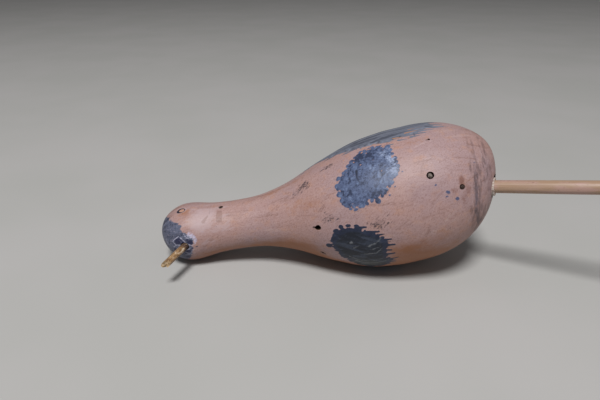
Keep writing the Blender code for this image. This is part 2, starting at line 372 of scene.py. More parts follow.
class Skin:
    """The body's points with their stations and angles, for laying out paint and wear."""

    def __init__(self, points):
        self.points = points
        self.station = np.clip(points[:, 0], 0.0, BODY_LENGTH)
        self.radius = body_radius(self.station)
        height = points[:, 2] - centre_lift(self.station)
        self.angle = np.degrees(np.arctan2(height, -points[:, 1]))
        self.depth = self.radius - np.hypot(points[:, 1], height)
        self.order = np.argsort(self.station)
        self.ordered = self.station[self.order]

    def outside(self):
        """A signed distance for every point, far outside any shape."""
        return np.full(len(self.points), -FAR)

    def band(self, low, high):
        """The indices of the points between two stations."""
        first, last = np.searchsorted(self.ordered, (low, high))
        return self.order[first:last]

    def unrolled(self, station, angle, chosen=slice(None)):
        """Distances in millimetres from a place: along the body, and round it towards the flank."""
        turn = (self.angle[chosen] - angle + 180.0) % 360.0 - 180.0
        return self.station[chosen] - station, np.radians(turn) * self.radius[chosen]

    def seen_from(self, station, angle, chosen=slice(None)):
        """Coordinates from a place on a curved end: along the body, round it, and out of the skin."""
        ahead = skin_point(station + 0.5, angle) - skin_point(station - 0.5, angle)
        ahead /= np.linalg.norm(ahead)
        around = np.cross(ahead, np.array(outward(angle)))
        around /= np.linalg.norm(around)
        up = skin_point(station, angle + 1.0) - skin_point(station, angle - 1.0)
        if around @ up < 0.0:
            around = -around
        offset = self.points[chosen] - skin_point(station, angle)
        return offset @ ahead, offset @ around, offset @ np.cross(ahead, around)

    def spot(self, station, angle, along, around, slant_deg=0.0):
        """1 at a place and fading to 0 at an ellipse round it."""
        u, v = slanted(*self.unrolled(station, angle), math.radians(slant_deg), along, around)
        near = np.clip(1.0 - np.sqrt(u * u + v * v), 0.0, 1.0)
        return near * near * (3.0 - 2.0 * near)

    def path(self, places, width, tip=None):
        """Signed distance inside a line through places, its width changing to the tip's."""
        tip = width if tip is None else tip
        knots = np.array([skin_point(station, angle) for station, angle in places])
        lengths = np.linalg.norm(np.diff(knots, axis=0), axis=1)
        near = self.band(knots[:, 0].min() - LINE_REACH, knots[:, 0].max() + LINE_REACH)
        points = self.points[near]
        best = np.full(len(near), -FAR)
        before = 0.0
        for start, end, length in zip(knots, knots[1:], lengths):
            part = np.clip((points - start) @ (end - start) / length**2, 0.0, 1.0)
            away = np.linalg.norm(points - start - part[:, None] * (end - start), axis=1)
            half = (width + (tip - width) * (before + part * length) / lengths.sum()) / 2.0
            best = np.maximum(best, half - away)
            before += length
        field = self.outside()
        field[near] = best
        return field

    def oval(self, station, angle, along, around, slant_deg=0.0):
        """Signed distance inside an oval on the skin."""
        near = self.band(station - OVAL_REACH, station + OVAL_REACH)
        x, y, out = self.seen_from(station, angle, near)
        u, v = slanted(x, y, math.radians(slant_deg), along, around)
        field = self.outside()
        field[near] = np.where(np.abs(out) < OVAL_OUT, (1.0 - np.hypot(u, v)) * min(along, around), -FAR)
        return field


def union(*fields):
    """The signed distance inside any of several shapes."""
    return np.maximum.reduce(fields)


def edges(corners):
    """Each side of a closed outline, as its two corners."""
    return zip(corners, corners[1:] + corners[:1])


def polygon_field(x, y, corners):
    """Signed distance, positive inside the outline through the corners."""
    nearest = np.full(len(x), np.inf)
    inside = np.zeros(len(x), bool)
    for (ax, ay), (bx, by) in edges(corners):
        dx, dy = bx - ax, by - ay
        part = np.clip(((x - ax) * dx + (y - ay) * dy) / (dx * dx + dy * dy), 0.0, 1.0)
        nearest = np.minimum(nearest, np.hypot(x - ax - part * dx, y - ay - part * dy))
        if dy:
            inside ^= ((ay > y) != (by > y)) & (x < ax + (y - ay) / dy * dx)
    return np.where(inside, nearest, -nearest)


class Outline:
    """An outline on the skin, given as (station, angle) corners, unrolled about its middle."""

    def __init__(self, places):
        self.station, self.angle = np.mean(np.array(places), axis=0)
        self.corners = [self.flat(station, angle) for station, angle in places]
        xs, ys = np.array(self.corners).T
        self.low, self.high = (xs.min(), ys.min()), (xs.max(), ys.max())
        self.turns_left = (xs * np.roll(ys, -1) - np.roll(xs, -1) * ys).sum() > 0.0

    def flat(self, station, angle):
        return station - self.station, math.radians(angle - self.angle) * float(body_radius(station))

    def place(self, x, y):
        """The station and angle of a flat place."""
        station = min(max(x + self.station, 1.0), BODY_LENGTH - 1.0)
        return station, self.angle + math.degrees(y / float(body_radius(station)))

    def inside(self, skin):
        """Signed distance inside the outline for each of the skin's points."""
        field = skin.outside()
        low, high = self.low[0] + self.station, self.high[0] + self.station
        near = skin.band(low - OUTLINE_REACH, high + OUTLINE_REACH)
        field[near] = polygon_field(*skin.unrolled(self.station, self.angle, near), self.corners)
        return field


# A stroke is (station, angle, length, width, direction, tone).

def edge_dabs(outline, random, inset, length, width, spacing):
    """Brush strokes pointing out all along an outline."""
    dabs = []
    for (ax, ay), (bx, by) in edges(outline.corners):
        span = math.hypot(bx - ax, by - ay)
        normal = math.atan2(by - ay, bx - ax) - math.pi / 2.0
        if not outline.turns_left:
            normal += math.pi
        steps = max(1, round(span / spacing))
        for step in range(steps):
            part = (step + 0.5 + random.uniform(-0.3, 0.3)) / steps
            back = inset * random.uniform(0.7, 1.3)
            x = ax + (bx - ax) * part - back * math.cos(normal)
            y = ay + (by - ay) * part - back * math.sin(normal)
            direction = normal + random.uniform(-0.5, 0.5)
            size = random.uniform(0.75, 1.2)
            tone = random.uniform(0.2, 0.8)
            dabs.append((*outline.place(x, y), length * size, width * size, direction, tone))
    return dabs


def inner_dabs(outline, random, count, inset, length, width, direction_deg, spread_deg):
    """Brush strokes over the inside of an outline, at random places and much the same direction."""
    tries = random.uniform(outline.low, outline.high, (count * 4, 2))
    kept = tries[polygon_field(tries[:, 0], tries[:, 1], outline.corners) > inset][:count]
    dabs = []
    for x, y in kept:
        direction = math.radians(direction_deg + random.uniform(-spread_deg, spread_deg))
        size = random.uniform(0.7, 1.3)
        tone = float(np.clip(random.normal(0.5, 0.24), 0.0, 1.0))
        dabs.append((*outline.place(x, y), length * size, width * size, direction, tone))
    return dabs


def lay_strokes(skin, strokes, seed, soft=0.4, dry=0.35):
    """Lays strokes over each other: the top stroke's tone, and the signed distance inside any."""
    random = np.random.default_rng(seed)
    tone = np.full(len(skin.points), 0.5)
    cover = skin.outside()
    for station, angle, length, width, direction, value in strokes:
        reach = length + width
        near = skin.band(station - reach, station + reach)
        u, v = slanted(*skin.unrolled(station, angle, near), direction, length, width)
        inside = np.hypot(u, v) < 2.0
        near, u, v = near[inside], u[inside], v[inside]
        distance = (1.0 - np.hypot(u, v)) * width
        coarse, fine, phase = (random.uniform(*limits) for limits in ((3.0, 5.0), (8.0, 13.0), (0.0, 6.3)))
        bristles = 0.5 * np.sin(v * coarse + phase) + 0.5 * np.sin(v * fine - 2.0 * phase)
        wet = np.clip(1.0 - dry * (1.0 + u) * (0.6 + bristles), 0.0, 1.0)
        strength = np.clip(distance / soft, 0.0, 1.0) * wet
        tone[near] += strength * (value + 0.14 * bristles - tone[near])
        cover[near] = np.maximum(cover[near], distance)
    return tone, cover


def scattered(skin, station, angle, along, around, count, length, width, direction_deg, spread_deg, seed):
    """Signed distance inside many small strokes round a place, thinning out from its middle."""
    random = np.random.default_rng(seed)
    strokes = []
    for _ in range(count):
        x, y = random.normal(0.0, 0.45, 2)
        place = station + x * along
        turn = angle + math.degrees(y * around / float(body_radius(station)))
        direction = math.radians(direction_deg + random.uniform(-spread_deg, spread_deg))
        size = random.uniform(0.5, 1.3)
        strokes.append((place, turn, length * size, width * random.uniform(0.6, 1.2), direction, 1.0))
    return lay_strokes(skin, strokes, seed)[1]


# ---------------------------------------------------------------- paint and wear on the body

# Outlines of the painted patches: (station, angle) corners.
UPPER_PATCH = [
    (143, 57), (142, 48), (142, 39), (144, 33), (147.5, 28), (151, 27), (157, 25), (160, 25.5), (163, 28),
    (168, 26.5), (171, 29), (175, 33), (180, 38), (183, 44), (186, 50), (185.5, 58), (184, 65), (183, 73),
    (173, 78), (164, 77), (156, 72), (151, 64), (147, 59),
]
LOWER_PATCH = [
    (131.5, -12), (133, -4), (136, 5), (140, 7.5), (144, 10), (149, 10), (153.5, 9), (159, 5), (165, 2),
    (169, -2), (171, -7), (171, -16), (171, -24), (174, -30), (173, -40), (166, -48), (158, -51),
    (150, -45), (144, -38), (139, -31), (135, -19),
]
FAR_PATCH = [
    (145, -72), (150, -60), (160, -57), (173, -58), (183, -66), (185, -78), (181, -90), (170, -97),
    (157, -95), (148, -86),
]
MANTLE = [
    (104, 180), (108, 150), (112, 118), (119, 98), (127, 99), (133, 94.5), (145, 87), (154, 81.5),
    (164, 79), (183, 74), (190, 77), (197, 76), (204, 76), (209, 81), (214, 83), (220, 87), (218, 98),
    (224, 112), (229, 135), (232, 165), (231, 195), (227, 222), (221, 247), (216, 262), (205, 274),
    (190, 279), (168, 277), (150, 274), (131, 266), (119, 250), (110, 220),
]
# How far the slate of the face reaches from the tip of the head: (angle, station).
FACE_REACH = [
    (-180, 5.0), (-150, 5.0), (-120, 6.5), (-90, 9.0), (-65, 14.5), (-42, 20.5), (-22, 25.5), (-4, 28.0),
    (4, 29.5), (18, 29.0), (27, 24.0), (34, 21.5), (41, 22.5), (50, 17.5), (63, 12.5), (87, 8.0),
    (120, 6.0), (150, 5.0),
]

# Shapes with clear edges, by the field they make together.
# An oval is (station, angle, half length, half width, slant in degrees).
OVALS = {
    "upper_edge": [
        (153, 24.6, 2.0, 1.1, 10), (149.5, 26.0, 1.6, 1.0, -20), (187.5, 46, 0.9, 0.7),
        (176.5, 30.5, 1.0, 0.8), (181, 36, 1.1, 0.7, 30),
    ],
    "lower_edge": [
        (141.0, 10.6, 1.8, 2.0, 80), (146.0, 11.4, 2.2, 1.4), (134.6, -2.0, 2.3, 1.8, 40),
        (137.2, 6.4, 2.6, 1.9, 20), (130.6, -12.5, 2.8, 2.2, 10), (151.5, 10.6, 2.0, 1.3, -10),
    ],
    "arcs": [(146.5, -6.0, 2.0, 1.2, 30)],
    "blobs": [
        (17.4, 12.0, 3.6, 2.6, 20), (20.6, 7.0, 2.0, 2.0), (26.8, 6.6, 2.2, 2.4, 40), (25.0, 12.2, 1.2, 1.5),
        (23.4, -12.0, 2.2, 1.9, -30), (20.6, -17.0, 1.5, 1.2), (26.4, -8.0, 1.3, 1.1),
        (30.8, -5.0, 1.6, 0.7, -10), (12.8, -8.0, 2.4, 1.3, 60),
    ],
    "chips": [
        (175.5, 77.2, 2.2, 1.0, 10), (169.0, 75.6, 1.7, 0.9, -15), (178.6, 74.8, 2.0, 0.7, 20),
        (152.0, 70.6, 1.6, 0.8, 30), (163.4, 74.6, 1.2, 0.8, 50), (157.0, 66.4, 1.0, 0.8),
        (164.0, 53.6, 0.9, 0.7), (155.5, 54.0, 0.8, 0.6), (174.0, 50.6, 1.0, 0.7, 40),
        (166.4, 72.0, 0.9, 0.7), (177.6, 70.0, 1.1, 0.6, -30), (161.0, 61.5, 0.8, 0.6),
        (170.0, 62.5, 0.9, 0.6, 20), (154.2, 73.6, 1.5, 0.8, 20), (150.2, 74.6, 1.6, 0.7, 30),
    ],
    # Dark bare wood round the small holes, made darker as painted shade in them.
    "shaded_nicks": [
        (52.0, 78.0, 2.0, 1.7, 25), (125.0, -30.0, 3.4, 1.2, -28), (122.2, 10.6, 2.0, 0.9),
        (209.2, 69.4, 1.9, 0.6, 8),
    ],
    "blue": [
        (207.4, 29.9, 1.3, 1.1), (214.6, 22.3, 1.5, 2.2, 70), (213.8, 19.4, 1.0, 1.7, 60),
        (220.6, 15.2, 1.6, 2.1, 40), (236.5, 41.0, 0.7, 2.0, 85),
    ],
}
# A line is (places, width, width at its tip), its places as (station, angle).
LINES = {
    "lower_edge": [
        ([(151, 9.0), (158, 8.8)], 2.6, 1.6),
        ([(158, 4.2), (166.5, 3.6)], 2.8, 1.5),
        ([(163, 0.5), (169.5, 0.8)], 2.3, 1.4),
        ([(166, -4.5), (174.0, -4.8)], 2.6, 1.6),
        ([(167, -10.0), (176.0, -10.6)], 2.9, 1.8),
        ([(167, -15.5), (173.5, -16.4)], 2.7, 1.8),
        ([(167, -21.5), (175.5, -20.8)], 3.1, 1.9),
        ([(167, -31.0), (178.5, -27.5)], 4.0, 1.2),
    ],
    "arcs": [
        ([(148, -33), (155, -36.5), (163, -35), (172, -29.5)], 2.0, 0.7),
        ([(144, -26), (151, -31), (160, -31), (168, -26)], 1.5, 0.7),
        ([(152, -39), (160, -41), (169, -37.5)], 1.7, 0.5),
        ([(155, -20), (163, -18.5), (168, -12)], 1.8, 0.7),
        ([(158, -10), (164, -6.5), (167, -2.5)], 2.1, 0.8),
        ([(160, -14), (166, -11)], 1.5, 0.7),
        ([(148, -12.5), (151.5, -9.5)], 1.7, 0.7),
    ],
    "mantle_edge": [
        ([(199, 76.8), (207, 76.2)], 2.6, 0.8),
        ([(203, 79.5), (213.5, 78.8)], 2.5, 0.6),
        ([(207, 82.8), (218.5, 82.0)], 2.6, 0.5),
        ([(211, 86.5), (224.5, 83.6)], 2.8, 0.4),
        ([(206, 91), (223, 91.5)], 2.4, 0.4),
        ([(212, 97), (229, 98)], 2.0, 0.3),
        ([(190, 76.4), (198, 74.6)], 2.2, 0.5),
        ([(183, 73.4), (189.5, 73.0)], 2.0, 0.6),
        ([(119, 98), (109, 105)], 2.2, 0.3),
    ],
    "mantle_bare": [
        ([(187, 80.5), (196, 79.0), (203, 80.0)], 1.6, 0.5),
        ([(196, 84.5), (207, 84.4), (214, 86.6)], 1.6, 0.5),
        ([(179, 77.6), (186, 76.2)], 1.6, 0.9),
        ([(172, 80.5), (178, 79.4)], 1.4, 0.7),
        ([(199, 89.5), (211, 90.0)], 1.3, 0.5),
        ([(150, 86.2), (158, 83.4)], 1.3, 0.7),
    ],
    "scroll": [
        ([(18.6, 21.5), (14.0, 15.5), (12.6, 11.0), (14.6, 5.0), (20.0, 1.6), (23.5, 5.0), (22.0, 12.0),
          (19.6, 19.4)], 1.11),
        ([(23.5, 5.0), (27.5, -1.0), (30.2, 2.0), (30.4, 11.0), (29.8, 19.0), (26.0, 21.5)], 1.27),
        ([(24.4, 16.8), (28.4, 14.6)], 1.19),
        ([(23.2, 24.4), (24.0, 19.4)], 1.19),
        ([(22.0, -8.5), (25.6, -6.6), (27.4, -11.0), (25.0, -16.0)], 1.04),
        ([(19.8, -14.0), (22.8, -18.6)], 0.97),
        ([(15.5, 3.5), (11.5, -3.0)], 0.82),
        ([(20.4, 8.4), (18.6, 13.6)], 0.75),
        ([(8.6, 32.0), (10.8, 36.0)], 0.8, 0.5),
        ([(6.2, 12.0), (8.2, -2.0)], 0.9, 0.6),
        ([(12.0, 50.0), (13.6, 46.0)], 0.5, 0.3),
        ([(15.0, 30.0), (16.6, 27.0)], 0.5, 0.3),
        ([(10.0, 20.0), (11.0, 16.0)], 0.5, 0.3),
    ],
    "marks": [(FLANK_CRACK, 0.5, 0.2), ([(190.0, 62.0), (196.0, 64.2)], 0.3, 0.2)],
    "gash": [([(157.5, 57), (157.0, 51), (158.5, 45)], 2.6, 1.4), ([(161.0, 53), (159.6, 46)], 1.2, 0.6)],
    "smear": [([(38.6, 44.0), (40.4, 50.0), (42.2, 56.5)], 3.8, 2.2), ([(50.6, 44.0), (51.0, 60.0)], 5.6)],
}
# Scattered strokes are (station, angle, length and width of the place, count, stroke length and width,
# direction, spread, seed).
SCATTERS = {
    "marks": [
        (118.5, 67.5, 7.0, 3.2, 40, 1.9, 0.55, 55.0, 16.0, 61),
        (112.5, 60.0, 6.0, 3.0, 16, 1.7, 0.42, 48.0, 16.0, 62),
        (138.0, 77.0, 5.0, 1.8, 26, 1.8, 0.55, 22.0, 14.0, 63),
        (133.5, 20.0, 8.0, 3.4, 34, 1.4, 0.5, 38.0, 18.0, 64),
        (166.5, 10.0, 7.0, 4.4, 44, 1.5, 0.55, 58.0, 30.0, 65),
        (178.0, 87.0, 12.0, 2.4, 14, 2.0, 0.4, 4.0, 10.0, 66),
        (128.0, 2.0, 9.0, 5.0, 9, 1.2, 0.3, 10.0, 40.0, 67),
    ],
    "flecks": [
        (95.0, 45.0, 60.0, 26.0, 60, 0.7, 0.34, 20.0, 60.0, 71),
        (175.0, 25.0, 60.0, 50.0, 90, 0.6, 0.3, 40.0, 70.0, 72),
        (60.0, -30.0, 50.0, 30.0, 50, 0.6, 0.3, 20.0, 70.0, 73),
        (205.0, -30.0, 50.0, 60.0, 60, 0.8, 0.35, 60.0, 60.0, 74),
        (140.0, -80.0, 90.0, 50.0, 60, 0.8, 0.35, 40.0, 70.0, 75),
    ],
    "streaks": [
        (237.0, 30.0, 5.0, 26.0, 20, 8.0, 1.6, 88.0, 9.0, 81),
        (235.0, 2.0, 4.4, 20.0, 20, 7.0, 1.7, 84.0, 10.0, 82),
        (239.0, -25.0, 6.0, 22.0, 14, 6.0, 1.7, 86.0, 12.0, 83),
        (247.0, 45.0, 5.5, 22.0, 12, 5.0, 1.4, 90.0, 14.0, 84),
    ],
    "pale_marks": [
        (119.0, 69.0, 5.0, 2.2, 7, 0.9, 0.4, 60.0, 20.0, 91),
        (245.0, 24.0, 4.0, 26.0, 26, 5.5, 0.6, 88.0, 10.0, 92),
        (231.0, 8.0, 4.0, 18.0, 12, 4.0, 0.45, 80.0, 14.0, 93),
        (40.0, 32.0, 20.0, 18.0, 34, 5.0, 1.4, 20.0, 22.0, 94),
        (40.0, 66.0, 14.0, 8.0, 18, 4.5, 1.3, 20.0, 16.0, 95),
        (214.0, 50.0, 24.0, 26.0, 16, 1.5, 0.4, 60.0, 30.0, 96),
        (200.0, -8.0, 22.0, 14.0, 12, 1.0, 0.35, 20.0, 40.0, 97),
    ],
}
WORN_SHAPES = ("marks", "flecks", "streaks", "pale_marks", "shaded_nicks", "blue", "gash", "smear")

# Broad changes of colour: spots of (weight, station, angle, length, width, slant in degrees).
SPOTS = {
    "rust": [
        (0.8, 225, 28.0, 3.2, 5.6), (0.8, 225, 28, 5, 8), (1, 229, 19, 5, 7), (0.9, 219, 22, 6, 4, -20),
        (0.7, 225, 12, 4, 9), (0.6, 229, 1, 5, 10), (0.4, 216, 17, 7, 4),
    ],
    "brown": [
        (0.8, 182, -18, 26, 16, -15), (0.45, 205, -13, 24, 10, 5), (0.8, 198, -34, 50, 22),
        (0.8, 62, -42, 60, 14), (0.7, 108, -46, 46, 20), (0.4, 200, 70, 24, 6), (0.5, 120, 40, 30, 12),
        (0.5, 30, -55, 24, 20), (0.5, 234, -8, 8, 26), (0.7, 24, 66, 9, 9), (0.6, 100, 88, 50, 6),
        (0.7, 110, -24, 34, 18), (0.9, 190, -52, 76, 28), (0.8, 130, -64, 70, 30),
    ],
    "mauve": [
        (0.7, 200, 30, 44, 30), (0.35, 150, 12, 26, 16), (0.8, 246, 20, 9, 60), (0.5, 95, 30, 30, 16),
        (0.5, 215, 62, 22, 16),
    ],
    # neck: paler pink on the neck, a painted highlight.
    "neck": [(1, 35, 42, 15, 20), (0.6, 52, 22, 18, 14), (0.9, 42, 66, 13, 9)],
    "lavender": [
        (1, 27.5, 21, 5.0, 5.5, 40), (0.9, 30.5, 10, 3.6, 6.5), (0.4, 37, 24, 5, 5),
        (0.5, 24.0, -12, 5.0, 4.5),
    ],
    "pale": [
        (1, 177, 66, 7, 5, -10), (0.8, 180, 60, 6, 6), (0.8, 183.5, 56, 4.5, 9), (0.9, 182, 48, 5, 9, 70),
        (0.4, 167.5, 55, 5, 2.4, 10), (0.5, 181, 69, 5, 4), (0.5, 173, 70, 4, 2, 20),
        (0.3, 150, 38, 8, 4, 50),
    ],
    "olive": [(1, 156, -38, 24, 15, 4)],
    "gloom": [(1, 163, 70, 16, 8, 10), (0.6, 158, 50, 5, 9), (0.4, 170, 34, 12, 4)],
    "grime": [
        (1, 118, 67.5, 8, 4, 35), (0.8, 133.5, 20, 10, 5, 20), (1, 167, 10, 9, 6, 20), (0.9, 138, 77, 7, 2.6),
        (0.7, 112, 60, 8, 4, 40), (0.5, 188, 6, 14, 9), (0.6, 209, 53, 5, 4), (0.5, 93, 62, 12, 6, 20),
        (0.6, 196, 70, 14, 2.4),
    ],
    "soot": [
        (1, 236, 28, 6, 24), (1.1, 234, 2, 5, 22), (0.9, 238, -22, 7, 22), (0.8, 246, 40, 7, 26),
        (0.7, 247, -10, 5, 30),
    ],
}


def inside(skin, name):
    """Signed distance inside any of the shapes of one name."""
    return union(
        *(skin.oval(*oval) for oval in OVALS.get(name, ())),
        *(skin.path(*line) for line in LINES.get(name, ())),
        *(scattered(skin, *scatter) for scatter in SCATTERS.get(name, ())),
    )


def dabbed(skin, corners, random, edge, fillings, margin, seed):
    """A patch of brush dabs: signed distance inside it, and its tone from 0 to 1."""
    outline = Outline(corners)
    dabs = edge_dabs(outline, random, *edge)
    for filling in fillings:
        dabs += inner_dabs(outline, random, *filling)
    tone, cover = lay_strokes(skin, dabs, seed)
    return union(cover, outline.inside(skin) - margin), tone


def upper_patch(skin):
    """The slate patches on the two flanks."""
    random = np.random.default_rng(11)
    near, near_tone = dabbed(
        skin, UPPER_PATCH, random, (1.2, 2.0, 1.75, 3.5), [(230, 1.6, 2.6, 1.1, 70.0, 50.0)], 2.4, 12)
    far, far_tone = dabbed(
        skin, FAR_PATCH, random, (1.5, 2.1, 1.25, 2.1), [(130, 1.6, 3.1, 1.5, 80.0, 35.0)], 1.7, 13)
    near = union(near, inside(skin, "upper_edge"))
    on_far = skin.angle < 0.0
    return np.where(on_far, far, near), np.where(on_far, far_tone, near_tone)


def lower_patch(skin):
    """The near-black patch on the breast: lobed towards the head, ragged fingers towards the tail."""
    fillings = [(60, 1.8, 3.6, 1.6, 10.0, 30.0), (60, 2.4, 7.0, 1.0, -14.0, 9.0)]
    random = np.random.default_rng(21)
    cover, tone = dabbed(skin, LOWER_PATCH, random, (1.8, 2.2, 1.35, 2.6), fillings, 1.9, 22)
    return union(cover, inside(skin, "lower_edge")), tone


def mantle(skin):
    """The slate stripe and back, laid in long strokes."""
    random = np.random.default_rng(31)
    outline = Outline(MANTLE)
    strokes = inner_dabs(outline, random, 420, 2.2, 13.0, 1.7, 0.0, 7.0)
    strokes += edge_dabs(outline, random, 3.2, 3.0, 1.2, 3.2)
    tone, cover = lay_strokes(skin, strokes, 32, dry=0.3)
    return union(cover - 0.5, outline.inside(skin) - 2.2, inside(skin, "mantle_edge")), tone


def face(skin):
    """The slate over the end of the head, with a wavering edge."""
    angles, reaches = np.array(FACE_REACH, float).T
    wobble = smooth_noise(skin.points, 2.4, 23) + 0.6 * smooth_noise(skin.points, 0.9, 24)
    field = np.interp(skin.angle, angles, reaches, period=360.0) - skin.station + 0.9 * wobble
    return field + 1.1 * smooth_noise(skin.points, (9.0, 1.0, 1.0), 25) * (skin.station < 60.0)


def ring_field(skin, station, angle, radius_x, radius_y, width, heavy_deg):
    """Signed distance inside a painted ring that is heavier on one side, and inside its middle."""
    near = skin.band(station - OUTLINE_REACH, station + OUTLINE_REACH)
    x, y, out = skin.seen_from(station, angle, near)
    reach = np.hypot(x / radius_x, y / radius_y)
    thick = width * (1.0 + 0.45 * np.cos(np.arctan2(y, x) - math.radians(heavy_deg)))
    size = math.sqrt(radius_x * radius_y)
    on_it = np.abs(out) < EYE_OUT
    ring, middle = skin.outside(), skin.outside()
    ring[near] = np.where(on_it, thick / 2.0 - np.abs(reach - 1.0) * size, -FAR)
    middle[near] = np.where(on_it, (1.0 - reach) * size, -FAR)
    return ring, middle


def ground_strokes(skin):
    """Tone of the long strokes that the pink ground was painted with."""
    random = np.random.default_rng(41)
    strokes = []
    for _ in range(1100):
        station = random.uniform(0.0, BODY_LENGTH)
        slanting = random.uniform() < 0.45 and station > 100.0
        direction = math.radians(random.normal(42.0, 14.0) if slanting else random.normal(4.0, 14.0))
        length = random.uniform(4.0, 9.0) if slanting else random.uniform(8.0, 19.0)
        tone = float(np.clip(random.normal(0.5, 0.15), 0.0, 1.0))
        angle, width = random.uniform(-180.0, 180.0), random.uniform(1.2, 2.6)
        strokes.append((station, angle, length, width, direction, tone))
    return lay_strokes(skin, strokes, 42, soft=0.7, dry=0.45)[0]


def painted_fields(skin):
    """Every painted area, as a signed distance, and every brush tone from 0 to 1."""
    fields = {name: inside(skin, name) for name in ("arcs", "mantle_bare", "scroll", "blobs")}
    fields["patch_upper"], fields["upper_tone"] = upper_patch(skin)
    fields["patch_lower"], fields["lower_tone"] = lower_patch(skin)
    fields["mantle"], fields["mantle_tone"] = mantle(skin)
    eyes = [ring_field(skin, angle=angle, **EYE) for angle in (EYE_ANGLE, -EYE_ANGLE)]
    fields["eye_ring"], fields["eye_middle"] = (union(*both) for both in zip(*eyes))
    fields["face"] = face(skin)
    fields["ground_tone"] = ground_strokes(skin)
    return fields


def wear_fields(skin):
    """Signed distances of marks, and weights from 0 up of broad changes of colour."""
    fields = {name: inside(skin, name) for name in WORN_SHAPES}
    fields["chips"] = inside(skin, "chips") + 0.5 * smooth_noise(skin.points, 0.9, 51)
    for name, spots in SPOTS.items():
        fields[name] = sum(weight * skin.spot(*spot) for weight, *spot in spots)
    return fields


# ---------------------------------------------------------------- materials

def srgb(red, green, blue):
    """A colour from its usual 0 to 255 values to the renderer's linear ones."""
    def linear(value):
        value /= 255.0
        return value / 12.92 if value <= 0.04045 else ((value + 0.055) / 1.055) ** 2.4
    return (linear(red), linear(green), linear(blue), 1.0)


class Surface:
    """One material's nodes: each method adds a node and returns its output."""

    def __init__(self, name, metallic=0.0, specular=0.5):
        self.material = bpy.data.materials.new(name)
        self.material.use_nodes = True
        self.tree = self.material.node_tree
        self.shader = self.tree.nodes["Principled BSDF"]
        self.shader.inputs["Metallic"].default_value = metallic
        self.shader.inputs["Specular IOR Level"].default_value = specular
        self.place = self.node("ShaderNodeAttribute", attribute_name="place").outputs["Vector"]

    def node(self, kind, inputs=None, **settings):
        """A node with its settings, and its inputs set by name or number."""
        made = self.tree.nodes.new(kind)
        for name, value in settings.items():
            setattr(made, name, value)
        for socket, value in (inputs or {}).items():
            self.put(value, made.inputs[socket])
        return made

    def put(self, value, socket):
        """Links an output to an input, or sets a plain value on it."""
        if isinstance(value, bpy.types.NodeSocket):
            self.tree.links.new(value, socket)
        else:
            socket.default_value = value

    def field(self, name):
        return self.node("ShaderNodeAttribute", attribute_name=name).outputs["Fac"]

    def mapped(self, size_mm, turn_deg, shift):
        """The piece's own places, turned and then scaled so that 1 is size_mm along each axis."""
        turn = [math.radians(angle) for angle in turn_deg]
        inputs = {"Vector": self.place, "Rotation": turn, "Location": (shift, shift, shift)}
        turned = self.node("ShaderNodeMapping", inputs, vector_type="POINT").outputs["Vector"]
        scale = [1.0 / size for size in size_mm]
        return self.node("ShaderNodeVectorMath", {0: turned, 1: scale}, operation="MULTIPLY").outputs[0]

    def noise(self, size_mm, detail=3.0, rough=0.55, turn_deg=(0, 0, 0), shift=0.0):
        place = self.mapped(size_mm, turn_deg, shift)
        inputs = {"Vector": place, "Scale": 1.0, "Detail": detail, "Roughness": rough}
        return self.node("ShaderNodeTexNoise", inputs).outputs["Fac"]

    def math(self, operation, a, b):
        return self.node("ShaderNodeMath", {0: a, 1: b}, operation=operation).outputs[0]

    def add(self, *values):
        total = values[0]
        for value in values[1:]:
            total = self.math("ADD", total, value)
        return total

    def times(self, a, b):
        return self.math("MULTIPLY", a, b)

    def weighed(self, *terms):
        """The sum of values by their weights, from (value, weight) pairs."""
        return self.add(*(self.times(value, weight) for value, weight in terms))

    def swing(self, noise, amount):
        """A noise moved to vary about 0, by an amount."""
        return self.times(self.add(noise, -0.5), amount)

    def ragged(self, field, noise, amount):
        """A stored field with its edge made uneven by a noise."""
        return self.add(self.field(field), self.swing(noise, amount))

    def step(self, value, low, high):
        """0 below low, 1 above high, and smooth between; low may be the larger."""
        inputs = {"Value": value, "From Min": low, "From Max": high}
        return self.node("ShaderNodeMapRange", inputs, interpolation_type="SMOOTHSTEP").outputs["Result"]

    def mix(self, factor, a, b):
        """A colour that goes from a to b."""
        return self.node("ShaderNodeMix", {0: factor, 6: a, 7: b}, data_type="RGBA").outputs[2]

    def blend(self, factor, a, b):
        """A number that goes from a to b."""
        return self.node("ShaderNodeMix", {0: factor, 2: a, 3: b}, data_type="FLOAT").outputs[0]

    def over(self, colour, value, low, high, other, weight=1.0):
        """Mixes in another colour where a value goes from low to high."""
        cover = self.step(value, low, high)
        return self.mix(cover if weight == 1.0 else self.times(cover, weight), colour, other)

    def lay(self, colour, field, other, noise, amount=1.0, low=0.0, high=0.3, weight=1.0):
        """Lays another colour where a signed distance, made ragged by a noise, is inside."""
        return self.over(colour, self.ragged(field, noise, amount), low, high, other, weight)

    def tint(self, colour, field, other, noise, weight, low=0.3, high=1.1, amount=0.9):
        """Blends in another colour by a broad weight that a noise breaks up."""
        return self.over(colour, self.ragged(field, noise, amount), low, high, other, weight)

    def finish(self, colour, roughness, height, depth_mm, strength=1.0):
        """Sets the colour, the roughness and a bump, and returns the material."""
        inputs = {"Strength": strength, "Distance": depth_mm * MM, "Height": height}
        normal = self.node("ShaderNodeBump", inputs).outputs["Normal"]
        for name, value in (("Base Color", colour), ("Roughness", roughness), ("Normal", normal)):
            self.put(value, self.shader.inputs[name])
        return self.material


